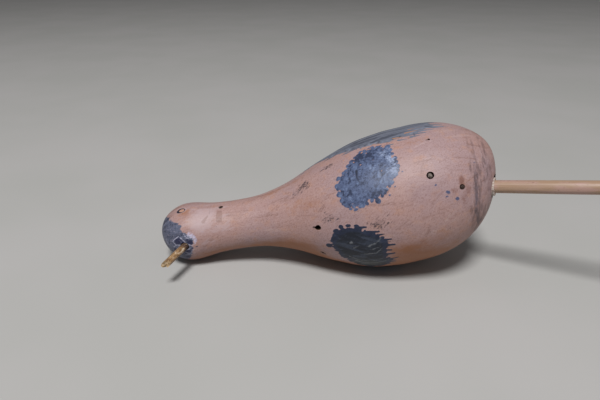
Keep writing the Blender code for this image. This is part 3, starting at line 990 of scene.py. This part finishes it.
PINK = srgb(169, 136, 131)
PINK_COOL = srgb(163, 136, 137)
PINK_WARM = srgb(176, 133, 114)
PINK_LOW = srgb(134, 102, 94)
PINK_HIGH = srgb(184, 157, 152)
PINK_PALE = srgb(180, 158, 160)
TERRACOTTA = srgb(150, 97, 62)
MAUVE = srgb(134, 115, 126)
PLUM = srgb(88, 71, 70)
SLATE = srgb(82, 94, 125)
SLATE_DARK = srgb(48, 56, 80)
SLATE_LIGHT = srgb(108, 124, 156)
SLATE_CHALK = srgb(158, 171, 200)
NAVY = srgb(24, 29, 42)
NAVY_LIGHT = srgb(56, 64, 81)
EDGE_BLUE = srgb(36, 45, 72)
OLIVE = srgb(58, 62, 58)
ARC_GREY = srgb(122, 126, 132)
STRIPE_DARK = srgb(74, 77, 90)
STRIPE = srgb(109, 113, 127)
STRIPE_LIGHT = srgb(140, 146, 162)
FACE_SLATE = srgb(94, 98, 118)
FACE_DARK = srgb(48, 52, 70)
FACE_LIGHT = srgb(138, 140, 160)
INK = srgb(26, 28, 44)
GLOSS_BLUE = srgb(38, 40, 70)
LAVENDER = srgb(176, 166, 192)
CHALK = srgb(192, 190, 212)
ORANGE = srgb(184, 128, 84)
RUST = srgb(112, 66, 44)
BARE_WOOD = srgb(128, 92, 62)
# Dark bare wood, also used as painted shade in the holes.
DARK_WOOD_AND_SHADE = srgb(40, 27, 20)
DIRT = srgb(66, 56, 60)
BLUE = srgb(60, 76, 110)


def pink_ground(s, broad, blotch, speckle):
    """The pink ground with its brushwork, stains, dirt and scuffs, and a painted highlight on the neck."""
    fibre = s.noise((13, 0.8, 0.8), 4, 0.65, (0, -6, 0))
    cross = s.noise((5.5, 0.7, 0.7), 3, 0.6, (0, 42, 0))
    grit = s.noise((1.5, 0.75, 0.75), 3, 0.75, (0, 40, 0), shift=0.6)
    drag = s.noise((1.3, 7.0, 7.0), 4, 0.65, shift=0.2)
    ground = s.field("ground_tone")
    tone = s.weighed((ground, 0.75), (fibre, 0.32), (cross, 0.26), (speckle, 0.3), (blotch, 0.22))
    pink = s.over(PINK_COOL, broad, 0.38, 0.62, PINK)
    pink = s.over(pink, tone, 0.92, 0.52, PINK_LOW)
    pink = s.over(pink, tone, 0.9, 1.3, PINK_HIGH, 0.75)
    pink = s.over(pink, blotch, 0.5, 0.72, PINK_WARM, 0.6)
    pink = s.over(pink, grit, 0.52, 0.66, PINK_LOW, 0.7)
    pink = s.over(pink, grit, 0.46, 0.34, PINK_HIGH, 0.4)
    # Painted highlight: paler pink over the neck.
    pink = s.tint(pink, "neck", PINK_PALE, blotch, 0.6, 0.3, 1.0)
    pink = s.tint(pink, "mauve", MAUVE, blotch, 0.45, 0.3, 1.1)
    pink = s.tint(pink, "brown", TERRACOTTA, blotch, 0.88, 0.15, 1.1)
    pink = s.lay(pink, "pale_marks", PINK_PALE, speckle, 1.6, -0.1, 0.8, 0.42)
    pink = s.lay(pink, "smear", PINK_LOW, speckle, 1.4, 0.0, 0.9, 0.55)
    pink = s.lay(pink, "streaks", PLUM, speckle, 2.2, 0.0, 1.5, 0.5)
    pink = s.tint(pink, "grime", PLUM, speckle, 0.6, 0.4, 1.5, 2.4)
    pink = s.tint(pink, "soot", PLUM, drag, 0.9, 0.4, 1.5, 3.6)
    pink = s.tint(pink, "soot", LAVENDER, speckle, 0.18, 0.7, 1.6, 2.2)
    pink = s.tint(pink, "rust", RUST, speckle, 0.65, 0.25, 1.3, 1.8)
    pink = s.lay(pink, "flecks", DIRT, speckle, 0.7, 0.0, 0.3, 0.65)
    pink = s.lay(pink, "marks", DIRT, speckle, 1.6, 0.0, 0.5, 0.85)
    return s.lay(pink, "blue", BLUE, speckle, 2.2, 0.1, 0.8, 0.9), tone


def slate_paint(s, blotch, speckle):
    """The upper patch's paint: dabs from navy to slate, chalky at its tail side."""
    tone = s.add(s.ragged("upper_tone", speckle, 2.1), s.swing(blotch, 0.6), s.times(s.field("gloom"), -0.42))
    slate = s.over(SLATE_DARK, tone, 0.05, 0.55, SLATE)
    slate = s.over(slate, tone, 0.5, 1.0, SLATE_LIGHT, 0.8)
    chalk = s.add(s.ragged("pale", tone, 0.5), s.swing(speckle, 1.4))
    slate = s.over(slate, chalk, 0.35, 1.35, SLATE_CHALK, 0.8)
    return s.lay(slate, "gash", INK, speckle, 2.0, 0.0, 0.9, 0.85)


def navy_paint(s, speckle):
    """The lower patch's paint: near black, with grey strokes dragged through it."""
    tone = s.ragged("lower_tone", speckle, 0.7)
    navy = s.over(NAVY, tone, 0.35, 0.8, NAVY_LIGHT)
    navy = s.over(navy, s.ragged("patch_lower", speckle, 3.0), 2.6, 0.2, EDGE_BLUE, 0.7)
    navy = s.tint(navy, "olive", OLIVE, speckle, 0.7, 0.3, 0.9)
    navy = s.over(navy, tone, 0.85, 1.15, ARC_GREY, 0.6)
    return s.lay(navy, "arcs", ARC_GREY, speckle, 2.4, -0.2, 0.9, 0.85)


def mantle_paint(s, blotch, speckle):
    """The back's paint: long grey-blue strokes with the ground showing between a few."""
    fibre = s.noise((22, 0.9, 0.9), 4, 0.65, (0, 2, 0), shift=0.3)
    tone = s.add(s.ragged("mantle_tone", fibre, 1.0), s.swing(speckle, 0.4))
    grey = s.over(STRIPE_DARK, tone, 0.1, 0.55, STRIPE)
    grey = s.over(grey, tone, 0.55, 1.0, STRIPE_LIGHT, 0.85)
    grey = s.over(grey, fibre, 0.7, 0.78, PINK_WARM, 0.7)
    grey = s.over(grey, blotch, 0.62, 0.75, MAUVE, 0.35)
    return s.lay(grey, "mantle_bare", ORANGE, speckle, 0.9, 0.0, 0.35, 0.9)


def face_paint(s, colour, blotch, speckle):
    """The slate of the face, its lavender smears, chalky scroll and glossy dark blobs."""
    dab = s.noise((1.1, 1.1, 1.1), 4, 0.7, shift=0.8)
    tone = s.weighed((s.field("ground_tone"), 0.4), (speckle, 0.7), (dab, 0.6), (blotch, 0.3))
    slate = s.over(FACE_DARK, tone, 0.82, 1.04, FACE_SLATE)
    slate = s.over(slate, tone, 1.04, 1.3, FACE_LIGHT, 0.8)
    slate = s.over(slate, dab, 0.61, 0.68, PINK_PALE, 0.7)
    colour = s.tint(colour, "lavender", LAVENDER, speckle, 0.7, 0.3, 1.1, 2.0)
    colour = s.lay(colour, "face", slate, speckle, 3.0, 0.3, 1.1)
    colour = s.tint(colour, "lavender", CHALK, speckle, 0.75, 0.55, 1.2, 2.4)
    colour = s.lay(colour, "blobs", GLOSS_BLUE, speckle, 1.6, 0.0, 0.5, 0.9)
    return s.lay(colour, "scroll", CHALK, speckle, 1.1, -0.05, 0.4, 0.85)


def body_material():
    """Worn pink paint with dabbed slate patches over a slate back and face."""
    s = Surface("carved_body_paint", specular=0.4)
    broad = s.noise((40, 40, 40), 3)
    blotch = s.noise((8, 6, 6), 4, 0.62)
    speckle = s.noise((1.7, 1.3, 1.3), 4, 0.68)
    pink, brushwork = pink_ground(s, broad, blotch, speckle)

    in_back = s.step(s.ragged("mantle", speckle, 1.2), 0.0, 0.35)
    in_upper = s.step(s.ragged("patch_upper", speckle, 1.0), 0.0, 0.3)
    in_lower = s.step(s.ragged("patch_lower", speckle, 0.9), 0.0, 0.3)
    colour = face_paint(s, pink, blotch, speckle)
    colour = s.mix(in_back, colour, mantle_paint(s, blotch, speckle))
    colour = s.mix(in_upper, colour, slate_paint(s, blotch, speckle))
    colour = s.mix(in_lower, colour, navy_paint(s, speckle))
    colour = s.lay(colour, "chips", PINK_WARM, speckle, 1.3, 0.2, 0.5)
    # Small holes: dark bare wood, with painted shade in and round them.
    colour = s.lay(colour, "shaded_nicks", DARK_WOOD_AND_SHADE, speckle, 1.0, 0.0, 0.45, 0.9)

    # Eyes: a dark ring, heavier on one side, round a warm middle with a pale rim.
    colour = s.lay(colour, "eye_middle", PINK_PALE, speckle, 0.4, -1.5, -0.9, 0.5)
    colour = s.lay(colour, "eye_middle", ORANGE, speckle, 0.8, 0.0, 0.7, 0.5)
    colour = s.lay(colour, "eye_ring", INK, speckle, 0.35, 0.0, 0.25, 0.95)

    # The bare insides of the holes, with painted shade that darkens them from 1 to 3 mm down.
    depth = s.field("depth")
    wood = s.over(DARK_WOOD_AND_SHADE, s.noise((14, 0.7, 0.7), 4, 0.6), 0.4, 0.65, BARE_WOOD)
    # Painted shade: the wood goes dark the deeper it lies in a hole.
    wood = s.over(wood, depth, 1.0, 3.0, DARK_WOOD_AND_SHADE)
    in_hole = s.step(depth, 0.75, 1.2)
    colour = s.mix(in_hole, colour, wood)

    painted = s.math("MAXIMUM", in_upper, s.math("MAXIMUM", in_lower, in_back))
    rough = s.blend(painted, s.add(0.4, s.times(speckle, 0.24)), s.add(0.3, s.times(speckle, 0.3)))
    upper, lower = s.field("upper_tone"), s.field("lower_tone")
    height = s.weighed((brushwork, 0.9), (speckle, 0.35), (painted, 0.2), (upper, 0.4), (lower, 0.4))
    return s.finish(colour, s.blend(in_hole, rough, 0.8), height, 0.2, 0.8)


def stake_material():
    """Handled honey-coloured dowel with freckles, soiled towards its point."""
    s = Surface("stake_dowel", specular=0.5)
    grain = s.noise((0.8, 0.8, 46), 5, 0.6)
    freckle = s.noise((1.0, 1.0, 2.4), 3, 0.6)
    broad = s.noise((8, 8, 26), 3)
    colour = s.over(srgb(176, 148, 130), grain, 0.35, 0.68, srgb(152, 122, 102))
    colour = s.over(colour, broad, 0.42, 0.62, srgb(176, 142, 134), 0.65)
    colour = s.over(colour, broad, 0.55, 0.4, srgb(156, 126, 96), 0.4)
    spots = s.times(s.step(freckle, 0.6, 0.7), s.step(broad, 0.42, 0.58))
    colour = s.mix(s.times(spots, 0.75), colour, srgb(110, 72, 56))
    colour = s.mix(s.times(s.field("soil"), s.step(freckle, 0.2, 0.6)), colour, srgb(96, 74, 58))
    height = s.weighed((grain, 0.8), (freckle, 0.25))
    return s.finish(colour, s.add(0.28, s.times(grain, 0.3)), height, 0.15, 0.7)


def beak_material():
    """Golden wood with dark and pale flecks, a fresher break and a stained root."""
    s = Surface("beak_cane", specular=0.5)
    fibre = s.noise((0.6, 0.6, 12), 5, 0.65)
    blotch = s.noise((1.7, 1.7, 4.4), 4, 0.65)
    colour = s.over(srgb(116, 82, 52), fibre, 0.36, 0.6, srgb(180, 146, 104))
    colour = s.over(colour, blotch, 0.5, 0.62, srgb(90, 62, 42), 0.75)
    colour = s.over(colour, blotch, 0.47, 0.36, srgb(222, 206, 184), 0.85)
    colour = s.mix(s.times(s.field("fresh"), 0.8), colour, srgb(204, 178, 138))
    colour = s.mix(s.times(s.field("stained"), s.step(blotch, 0.3, 0.6)), colour, srgb(60, 44, 44))
    return s.finish(colour, s.add(0.32, s.times(fibre, 0.3)), fibre, 0.3, 0.9)


def sleeve_material():
    """Pale wood with a fine grain and dirty blotches."""
    s = Surface("sleeve_wood", specular=0.35)
    grain = s.noise((0.7, 0.7, 9), 4, 0.6)
    colour = s.over(srgb(216, 204, 196), grain, 0.36, 0.64, srgb(176, 154, 140))
    colour = s.over(colour, s.noise((2.5, 2.5, 2.5), 3), 0.5, 0.72, srgb(120, 96, 92), 0.6)
    return s.finish(colour, s.add(0.55, s.times(grain, 0.25)), grain, 0.25, 0.9)


def iron_material():
    """Rusted iron with a few pale rubbed spots, which also stand as painted glints."""
    s = Surface("rusty_brad", metallic=0.35)
    scale = s.noise((0.5, 0.5, 0.5), 5, 0.7)
    colour = s.over(srgb(30, 22, 22), scale, 0.36, 0.66, srgb(74, 48, 36))
    # Pale spots: rubbed bare metal, and painted glints.
    colour = s.over(colour, scale, 0.58, 0.64, srgb(178, 172, 166))
    return s.finish(colour, s.add(0.55, s.times(scale, 0.35)), scale, 0.2)


def lead_material():
    """Dull grey oxidised lead, brown with dirt in places."""
    s = Surface("lead_oxide", metallic=0.3)
    dull = s.noise((0.7, 0.7, 0.7), 4, 0.6)
    colour = s.over(srgb(96, 84, 78), dull, 0.35, 0.65, srgb(158, 147, 139))
    colour = s.over(colour, s.noise((2.4, 2.4, 2.4), 1, 0.4, shift=0.5), 0.55, 0.42, srgb(58, 46, 42), 0.85)
    colour = s.over(colour, dull, 0.3, 0.2, srgb(74, 58, 50))
    return s.finish(colour, s.add(0.55, s.times(dull, 0.3)), dull, 0.15)


def floor_material():
    """Plain matt pale floor."""
    s = Surface("plain_floor", specular=0.2)
    tone = s.noise((160, 160, 160), 2)
    colour = s.over(srgb(174, 173, 170), tone, 0.3, 0.7, srgb(178, 176, 174))
    return s.finish(colour, s.add(0.85, s.times(tone, 0.05)), tone, 0.1, 0.1)


# ---------------------------------------------------------------- pieces

def ring_stations():
    """Stations spaced evenly along the skin, closer together on the head."""
    stations = BODY_LENGTH * (1.0 - np.cos(np.linspace(0.0, math.pi, 6001))) / 2.0
    steps = np.hypot(np.diff(stations), np.diff(body_radius(stations)))
    spacing = np.where(stations[1:] < HEAD_END, HEAD_RING_STEP, BODY_RING_STEP)
    progress = np.concatenate([[0.0], np.cumsum(steps / spacing)])
    wanted = np.arange(0.5, math.floor(progress[-1]), 1.0)
    return np.interp(wanted, progress, stations)


def carving(skin):
    """How much wood is taken off at each point, in millimetres."""
    stretched = smooth_noise(skin.points, (34.0, 11.0, 11.0), 3)
    facets = smooth_noise(skin.points, (52.0, 17.0, 17.0), 5)
    grain = smooth_noise(skin.points, (22.0, 1.5, 1.5), 7) * smooth_noise(skin.points, (30.0, 9.0, 9.0), 8)
    dents = np.clip(smooth_noise(skin.points, (6.0, 5.0, 5.0), 9) - 0.72, 0.0, 1.0)
    taken = SKIN_ALLOWANCE + FACET_DEPTH * (0.5 * stretched + 0.5 * np.abs(facets))
    taken += GRAIN_DEPTH * grain + 0.5 * dents
    crack = skin.path(FLANK_CRACK, CRACK_WIDTH, 0.2)
    return taken + CRACK_DEPTH * np.clip(crack / CRACK_WIDTH + 1.0, 0.0, 1.0) ** 2


def paint_relief(fields):
    """How far the thick patches of paint stand up, in millimetres."""
    relief = 0.0
    for name in ("patch_upper", "patch_lower"):
        relief = relief + PAINT_THICKNESS * np.clip(fields[name] / 0.6 + 0.3, 0.0, 1.0)
    for name, share in (("mantle", 0.5), ("blobs", 0.7)):
        relief = relief + share * PAINT_THICKNESS * np.clip(fields[name] / 0.8, 0.0, 1.0)
    return relief - EYE_GROOVE * np.clip(fields["eye_ring"] / 0.5 + 0.4, 0.0, 1.0)


def body_rings():
    stations = ring_stations()
    angles = np.linspace(0.0, 360.0, BODY_SIDES, endpoint=False)
    station, angle = (grid.ravel() for grid in np.meshgrid(stations, angles, indexing="ij"))
    radians = np.radians(angle)

    def placed(depth):
        reach = body_radius(station) - depth
        side = reach * np.sin(radians) + centre_lift(station)
        return np.stack([station, -reach * np.cos(radians), side], axis=1)

    skin = Skin(placed(0.0))
    fade = np.clip(body_radius(station) / 4.0, 0.0, 1.0)
    depth = carving(skin) - paint_relief(painted_fields(skin))
    points = placed(depth * fade + SKIN_ALLOWANCE * (1.0 - fade))
    return rest_on_ground(points).reshape(len(stations), BODY_SIDES, 3)


def rest_on_ground(points):
    """Flattens in the worn places, where the skin would reach below the ground."""
    matrix = np.array(BIRD)
    world = points * MM @ matrix[:3, :3].T + matrix[:3, 3]
    world[:, 2] = np.maximum(world[:, 2], 0.0)
    return (world - matrix[:3, 3]) @ matrix[:3, :3] / MM


def lumpy_cutter(name, place, radius, depth, seed, lumps=0.08, flare=0.25):
    """A round cutter with an uneven wall that opens out a little at the skin."""
    heights = np.concatenate([np.linspace(-depth, 0.0, 24), np.linspace(0.4, 6.0, 5)])
    height, turn = round_grid(heights, 48)
    uneven = smooth_noise(round_points(1.0, turn, height / max(depth, 1.0) * 2.0), 0.6, seed)
    opening = flare * np.clip(1.0 + height / 0.7, 0.0, 3.0)
    reach = radius * (1.0 + lumps * uneven) + opening
    return ring_piece(name, round_points(reach, turn, height), BIRD @ place)


def stake_frame():
    """Origin at the socket's mouth, +Z out along the stake."""
    lean = math.radians(STAKE_FORWARD_LEAN_DEG)
    side = math.radians(STAKE_SIDE_LEAN_DEG)
    level = math.cos(side)
    return facing(STAKE_MOUTH, (math.cos(lean) * level, -math.sin(lean) * level, math.sin(side)))


def beak_frame():
    """Origin on the skin, +Z out along the beak, raked towards the head end."""
    rake = math.radians(BEAK_RAKE_DEG)
    return facing(skin_point(BEAK_STATION, 0.0), (-math.sin(rake), -math.cos(rake), 0.0))


def hole_cutters():
    stake, beak = stake_frame(), beak_frame()
    shot = skin_frame(SHOT["station"], SHOT["angle"])
    brad = skin_frame(BRAD["station"], BRAD["angle"])
    sleeve_depth = SLEEVE_LENGTH - SLEEVE_TOP + BORE_END_ROOM
    shot_depth = SHOT["sunk"] + SHOT["radius"] + CLEARANCE
    head_depth = BRAD["sunk"] + BRAD["thick"] + CLEARANCE
    shank_depth = BRAD["sunk"] + BRAD["length"] + CLEARANCE
    cuts = [
        ("mouth", stake, MOUTH_RADIUS - MOUTH_ALLOWANCE, MOUTH_DEPTH, 31, 0.05, 0.15),
        ("sleeve", stake, SLEEVE_RADIUS + CLEARANCE, sleeve_depth, 32, 0.0, 0.0),
        ("stake", stake, STAKE_RADIUS + CLEARANCE, STAKE_SEATED + BORE_END_ROOM, 33, 0.0, 0.0),
        ("beak", beak, BEAK_ROOT_RADIUS + CLEARANCE, BEAK_SEATED + BORE_END_ROOM, 34, 0.03, 0.1),
        ("shot", shot, SHOT["radius"] + 2 * CLEARANCE, shot_depth, 35),
        ("brad", brad, BRAD["head"] + CLEARANCE, head_depth, 36, 0.05),
        ("shank", brad, BRAD["shank"] + CLEARANCE, shank_depth, 37, 0.0, 0.0),
    ]
    for seed, (name, station, angle, radius, depth) in enumerate(OPEN_HOLES, 40):
        cuts.append((name, skin_frame(station, angle), radius, depth, seed, 0.18))
    return [lumpy_cutter(name + "_cut", *cut) for name, *cut in cuts]


def cut_holes(body):
    """Cuts every hole through the fine skin, and removes the cutters."""
    cutters = hole_cutters()
    for cutter in cutters:
        boolean = body.modifiers.new(cutter.name, "BOOLEAN")
        boolean.operation = "DIFFERENCE"
        boolean.solver = "MANIFOLD"
        boolean.object = cutter
    graph = bpy.context.evaluated_depsgraph_get()
    mesh = bpy.data.meshes.new_from_object(body.evaluated_get(graph))
    body.modifiers.clear()
    body.data = mesh
    for cutter in cutters:
        bpy.data.objects.remove(cutter, do_unlink=True)


def make_body():
    body = ring_piece("painted_body", body_rings(), BIRD)
    cut_holes(body)
    body.data.shade_smooth()
    body.data.set_sharp_from_angle(angle=math.radians(40.0))
    skin = Skin(own_points(body.data, BIRD))
    for name, values in {**painted_fields(skin), **wear_fields(skin), "depth": skin.depth}.items():
        set_field(body.data, name, values)
    stand_in(body, "decoy_body", "carved_body", body_material())


def whittled(height, turn, radius, facets):
    """Radius of a stick whittled by flat cuts: each facet is (direction, start height, slope, set back)."""
    reach = np.array(radius, float)
    for direction, start, slope, back in facets:
        plane = radius - back - np.clip(height - start, 0.0, None) * slope
        facing_it = np.cos(turn - direction)
        cut = np.where(facing_it > 0.2, plane / np.maximum(facing_it, 0.2), np.inf)
        reach = np.minimum(reach, np.maximum(cut, 0.0))
    return reach


def make_stake():
    """A dowel with a faint grain and a few bruises, whittled to a point."""
    shoulder = STAKE_EXPOSED - STAKE_POINT_LENGTH
    heights = np.concatenate([
        np.linspace(-STAKE_SEATED, shoulder, 320, endpoint=False), np.linspace(shoulder, STAKE_EXPOSED, 90),
    ])
    height, turn = round_grid(heights, 96)
    plain = round_points(STAKE_RADIUS, turn, height)
    grain = smooth_noise(plain, (0.9, 0.9, 40.0), 71)
    swell = smooth_noise(plain * (0, 0, 1), (1.0, 1.0, 45.0), 72)
    bruise = np.clip(smooth_noise(plain, (3.0, 3.0, 7.0), 73) - 0.6, 0.0, 1.0)
    radius = STAKE_RADIUS - 0.1 + 0.04 * grain + 0.05 * swell - 0.35 * bruise
    random = np.random.default_rng(74)
    facets = []
    for index in range(STAKE_FACETS):
        start = shoulder + random.uniform(-4.0, 5.0)
        slope = (STAKE_RADIUS - STAKE_POINT_RADIUS) / (STAKE_EXPOSED - start)
        facets.append((index * 2.0 * math.pi / STAKE_FACETS + random.uniform(-0.2, 0.2), start, slope, 0.0))
    rings = round_points(whittled(height, turn, radius, facets), turn, height)
    stake, points = laid("whittled_stake", rings, stake_frame(), 28.0)
    set_field(stake.data, "soil", np.clip((points[:, 2] - shoulder + 60.0) / 80.0, 0.0, 0.9))
    stand_in(stake, "stake", "stake", stake_material())


def make_sleeve():
    """A sleeve with its outside rubbed and its rim worn down unevenly."""
    inner, outer = STAKE_RADIUS + CLEARANCE, SLEEVE_RADIUS
    bottom = SLEEVE_TOP - SLEEVE_LENGTH
    profile = [(outer, z) for z in np.linspace(bottom + 0.3, SLEEVE_TOP - 0.4, 40)]
    profile += [(r, SLEEVE_TOP) for r in np.linspace(outer - 0.3, inner + 0.2, 8)]
    profile += [(inner, z) for z in np.linspace(SLEEVE_TOP - 0.2, bottom + 0.2, 40)]
    profile += [(r, bottom) for r in np.linspace(inner + 0.2, outer - 0.3, 8)]
    rings = turned_rings(profile, 128)
    radius, height = np.hypot(rings[..., 0], rings[..., 1]), rings[..., 2]
    rough = smooth_noise(rings, 0.8, 81)
    worn = radius - np.where(radius > outer - 0.05, 0.1 + 0.08 * rough, 0.0)
    rings[..., :2] *= (worn / radius)[..., None]
    rings[..., 2] -= np.where(height > SLEEVE_TOP - 0.01, 0.2 + 0.2 * rough, 0.0)
    sleeve, _ = laid("worn_sleeve", rings, stake_frame(), 40.0, joined=True)
    stand_in(sleeve, "sleeve", "stake_sleeve", sleeve_material())


def make_beak():
    """A whittled peg with long facets, grooves along its fibres and a slanted, splintered break."""
    slant = math.tan(math.radians(BEAK_BREAK_DEG))
    level, turn = round_grid(np.linspace(0.0, 1.0, 120), 112)
    taper = BEAK_ROOT_RADIUS + (BEAK_TIP_RADIUS - BEAK_ROOT_RADIUS) * level
    random = np.random.default_rng(91)
    facets = []
    for index in range(BEAK_FACETS):
        direction = (index + 0.5) * 2.0 * math.pi / BEAK_FACETS + random.uniform(-0.12, 0.12)
        facets.append((direction, -BEAK_SEATED, random.uniform(-0.004, 0.006), random.uniform(0.22, 0.5)))
    rough_height = level * (BEAK_SEATED + BEAK_FORWARD_LENGTH) - BEAK_SEATED
    radius = whittled(rough_height, turn, taper, facets)
    unit = round_points(2.5, turn, rough_height)
    radius = radius - 0.12 - 0.12 * smooth_noise(unit, (0.7, 0.7, 16.0), 92)
    end = BEAK_FORWARD_LENGTH - 0.4 - slant * (radius * np.cos(turn) + BEAK_TIP_RADIUS)
    splinter = smooth_noise(unit * (1.0, 1.0, 0.0), (0.9, 0.9, 1.0), 93)
    off_notch = np.abs(np.sin(turn - BEAK_NOTCH_TURN)) / BEAK_NOTCH_WIDTH
    end = end - 0.7 * np.abs(splinter) - BEAK_NOTCH_DEPTH * np.clip(1.0 - off_notch, 0.0, 1.0)
    height = -BEAK_SEATED + (end + BEAK_SEATED) * level
    rings = [round_points(radius, turn, height)]
    rim = rings[0][-1]
    centre = rim.mean(axis=0)
    for inward in np.linspace(0.92, 0.08, 12):
        spots = centre + (rim - centre) * inward
        torn = smooth_noise(spots * (1.0, 1.0, 0.0), (0.8, 0.8, 1.0), 94)
        spots[:, 2] -= 0.4 * np.abs(torn) + 0.5 * (1.0 - inward)
        rings.append(spots[None])
    beak, points = laid("whittled_beak", np.concatenate(rings), beak_frame(), 32.0)
    from_break = BEAK_FORWARD_LENGTH - slant * (points[:, 0] + BEAK_TIP_RADIUS) - points[:, 2]
    set_field(beak.data, "fresh", np.clip(1.0 - from_break / 2.6, 0.0, 1.0))
    set_field(beak.data, "stained", np.clip(1.0 - points[:, 2] / 5.0, 0.0, 1.0))
    stand_in(beak, "decoy_body", "beak_peg", beak_material())


def make_brad():
    """A brad with a hammered, rusty head."""
    head, thick, shank = BRAD["head"] - 0.05, BRAD["thick"], BRAD["shank"] - 0.03
    point_start = -BRAD["length"] + BRAD_POINT
    domed = [(head * part, -0.3 * part**3) for part in np.linspace(0.08, 1.0, 14)]
    under = [(head - 0.1, -thick + 0.06), (shank + 0.1, -thick)]
    stem = [(shank, z) for z in np.linspace(-thick - 0.1, point_start, 30)]
    point = [(shank * (1.0 - part), point_start - BRAD_POINT * part) for part in np.linspace(0.15, 0.95, 6)]
    rings = turned_rings((domed + under + stem + point)[::-1], 48)
    rough = smooth_noise(rings, 0.5, 101)
    rings[..., :2] *= (1.0 - 0.03 - 0.03 * rough)[..., None]
    rings[..., 2] -= np.where(rings[..., 2] > -thick / 2, 0.06 + 0.06 * rough, 0.0)
    place = skin_frame(BRAD["station"], BRAD["angle"], BRAD["sunk"])
    brad, _ = laid("rusty_brad", rings, place, 45.0)
    stand_in(brad, "decoy_body", "tail_brad", iron_material())


def make_shot():
    """A spent shot, dented where it struck."""
    tilts = np.linspace(math.pi - 0.08, 0.08, 40)
    rings = turned_rings([(math.sin(tilt), math.cos(tilt)) for tilt in tilts], 64)
    dents = np.clip(smooth_noise(rings, 0.7, 111), 0.0, 1.0)
    rings *= (SHOT["radius"] * (1.0 - 0.16 * dents) - 0.03)[..., None]
    shot, _ = laid("spent_shot", rings, skin_frame(SHOT["station"], SHOT["angle"], SHOT["sunk"]))
    stand_in(shot, "decoy_body", "lodged_shot", lead_material())


# ---------------------------------------------------------------- studio

FLOOR_HALF = 9.0
KEY_DISTANCE = 2.6
KEY_SIZE = 0.7
KEY_ELEVATION_DEG = 65.0
KEY_LEFT_DEG = 16.0
KEY_POWER = 65.0
SKY_STRENGTH = 0.16
CAMERA_PLACE = (-0.1216, -0.2937, 0.2214)
CAMERA_ELEVATION_DEG = 26.94
CAMERA_LENS = 29.16
FLOOR_DROP = 0.0001


def make_floor():
    mesh = bpy.data.meshes.new("studio_floor")
    corners = [(x * FLOOR_HALF, y * FLOOR_HALF, -FLOOR_DROP) for x, y in ((-1, -1), (1, -1), (1, 1), (-1, 1))]
    mesh.from_pydata(corners, [], [(0, 1, 2, 3)])
    floor = in_scene("studio_floor", mesh)
    own_points(mesh, Matrix.Identity(4))
    mesh.materials.append(floor_material())


def make_lights():
    """One soft key light from the front left, over a dim even surround."""
    lamp = bpy.data.lights.new("soft_key", "AREA")
    lamp.shape = "DISK"
    lamp.size = KEY_SIZE
    lamp.energy = KEY_POWER
    key = in_scene("soft_key", lamp)
    rise, left = math.radians(KEY_ELEVATION_DEG), math.radians(KEY_LEFT_DEG)
    towards = Vector((-math.sin(left) * math.cos(rise), -math.cos(left) * math.cos(rise), math.sin(rise)))
    key.location = towards * KEY_DISTANCE
    key.rotation_euler = towards.to_track_quat("Z", "Y").to_euler()
    world = bpy.data.worlds.new("studio")
    bpy.context.scene.world = world
    world.use_nodes = True
    sky = world.node_tree.nodes["Background"]
    sky.inputs["Color"].default_value = srgb(250, 250, 252)
    sky.inputs["Strength"].default_value = SKY_STRENGTH


def make_camera():
    lens = bpy.data.cameras.new("view")
    lens.sensor_width = 36.0
    lens.lens = CAMERA_LENS
    lens.clip_start = 0.01
    lens.clip_end = 50.0
    camera = in_scene("view", lens)
    camera.location = CAMERA_PLACE
    camera.rotation_euler = (math.radians(90.0 - CAMERA_ELEVATION_DEG), 0.0, 0.0)
    bpy.context.scene.camera = camera
    bpy.context.scene.view_settings.view_transform = "Standard"


make_camera()
make_lights()
make_floor()
make_body()
make_stake()
make_sleeve()
make_beak()
make_brad()
make_shot()
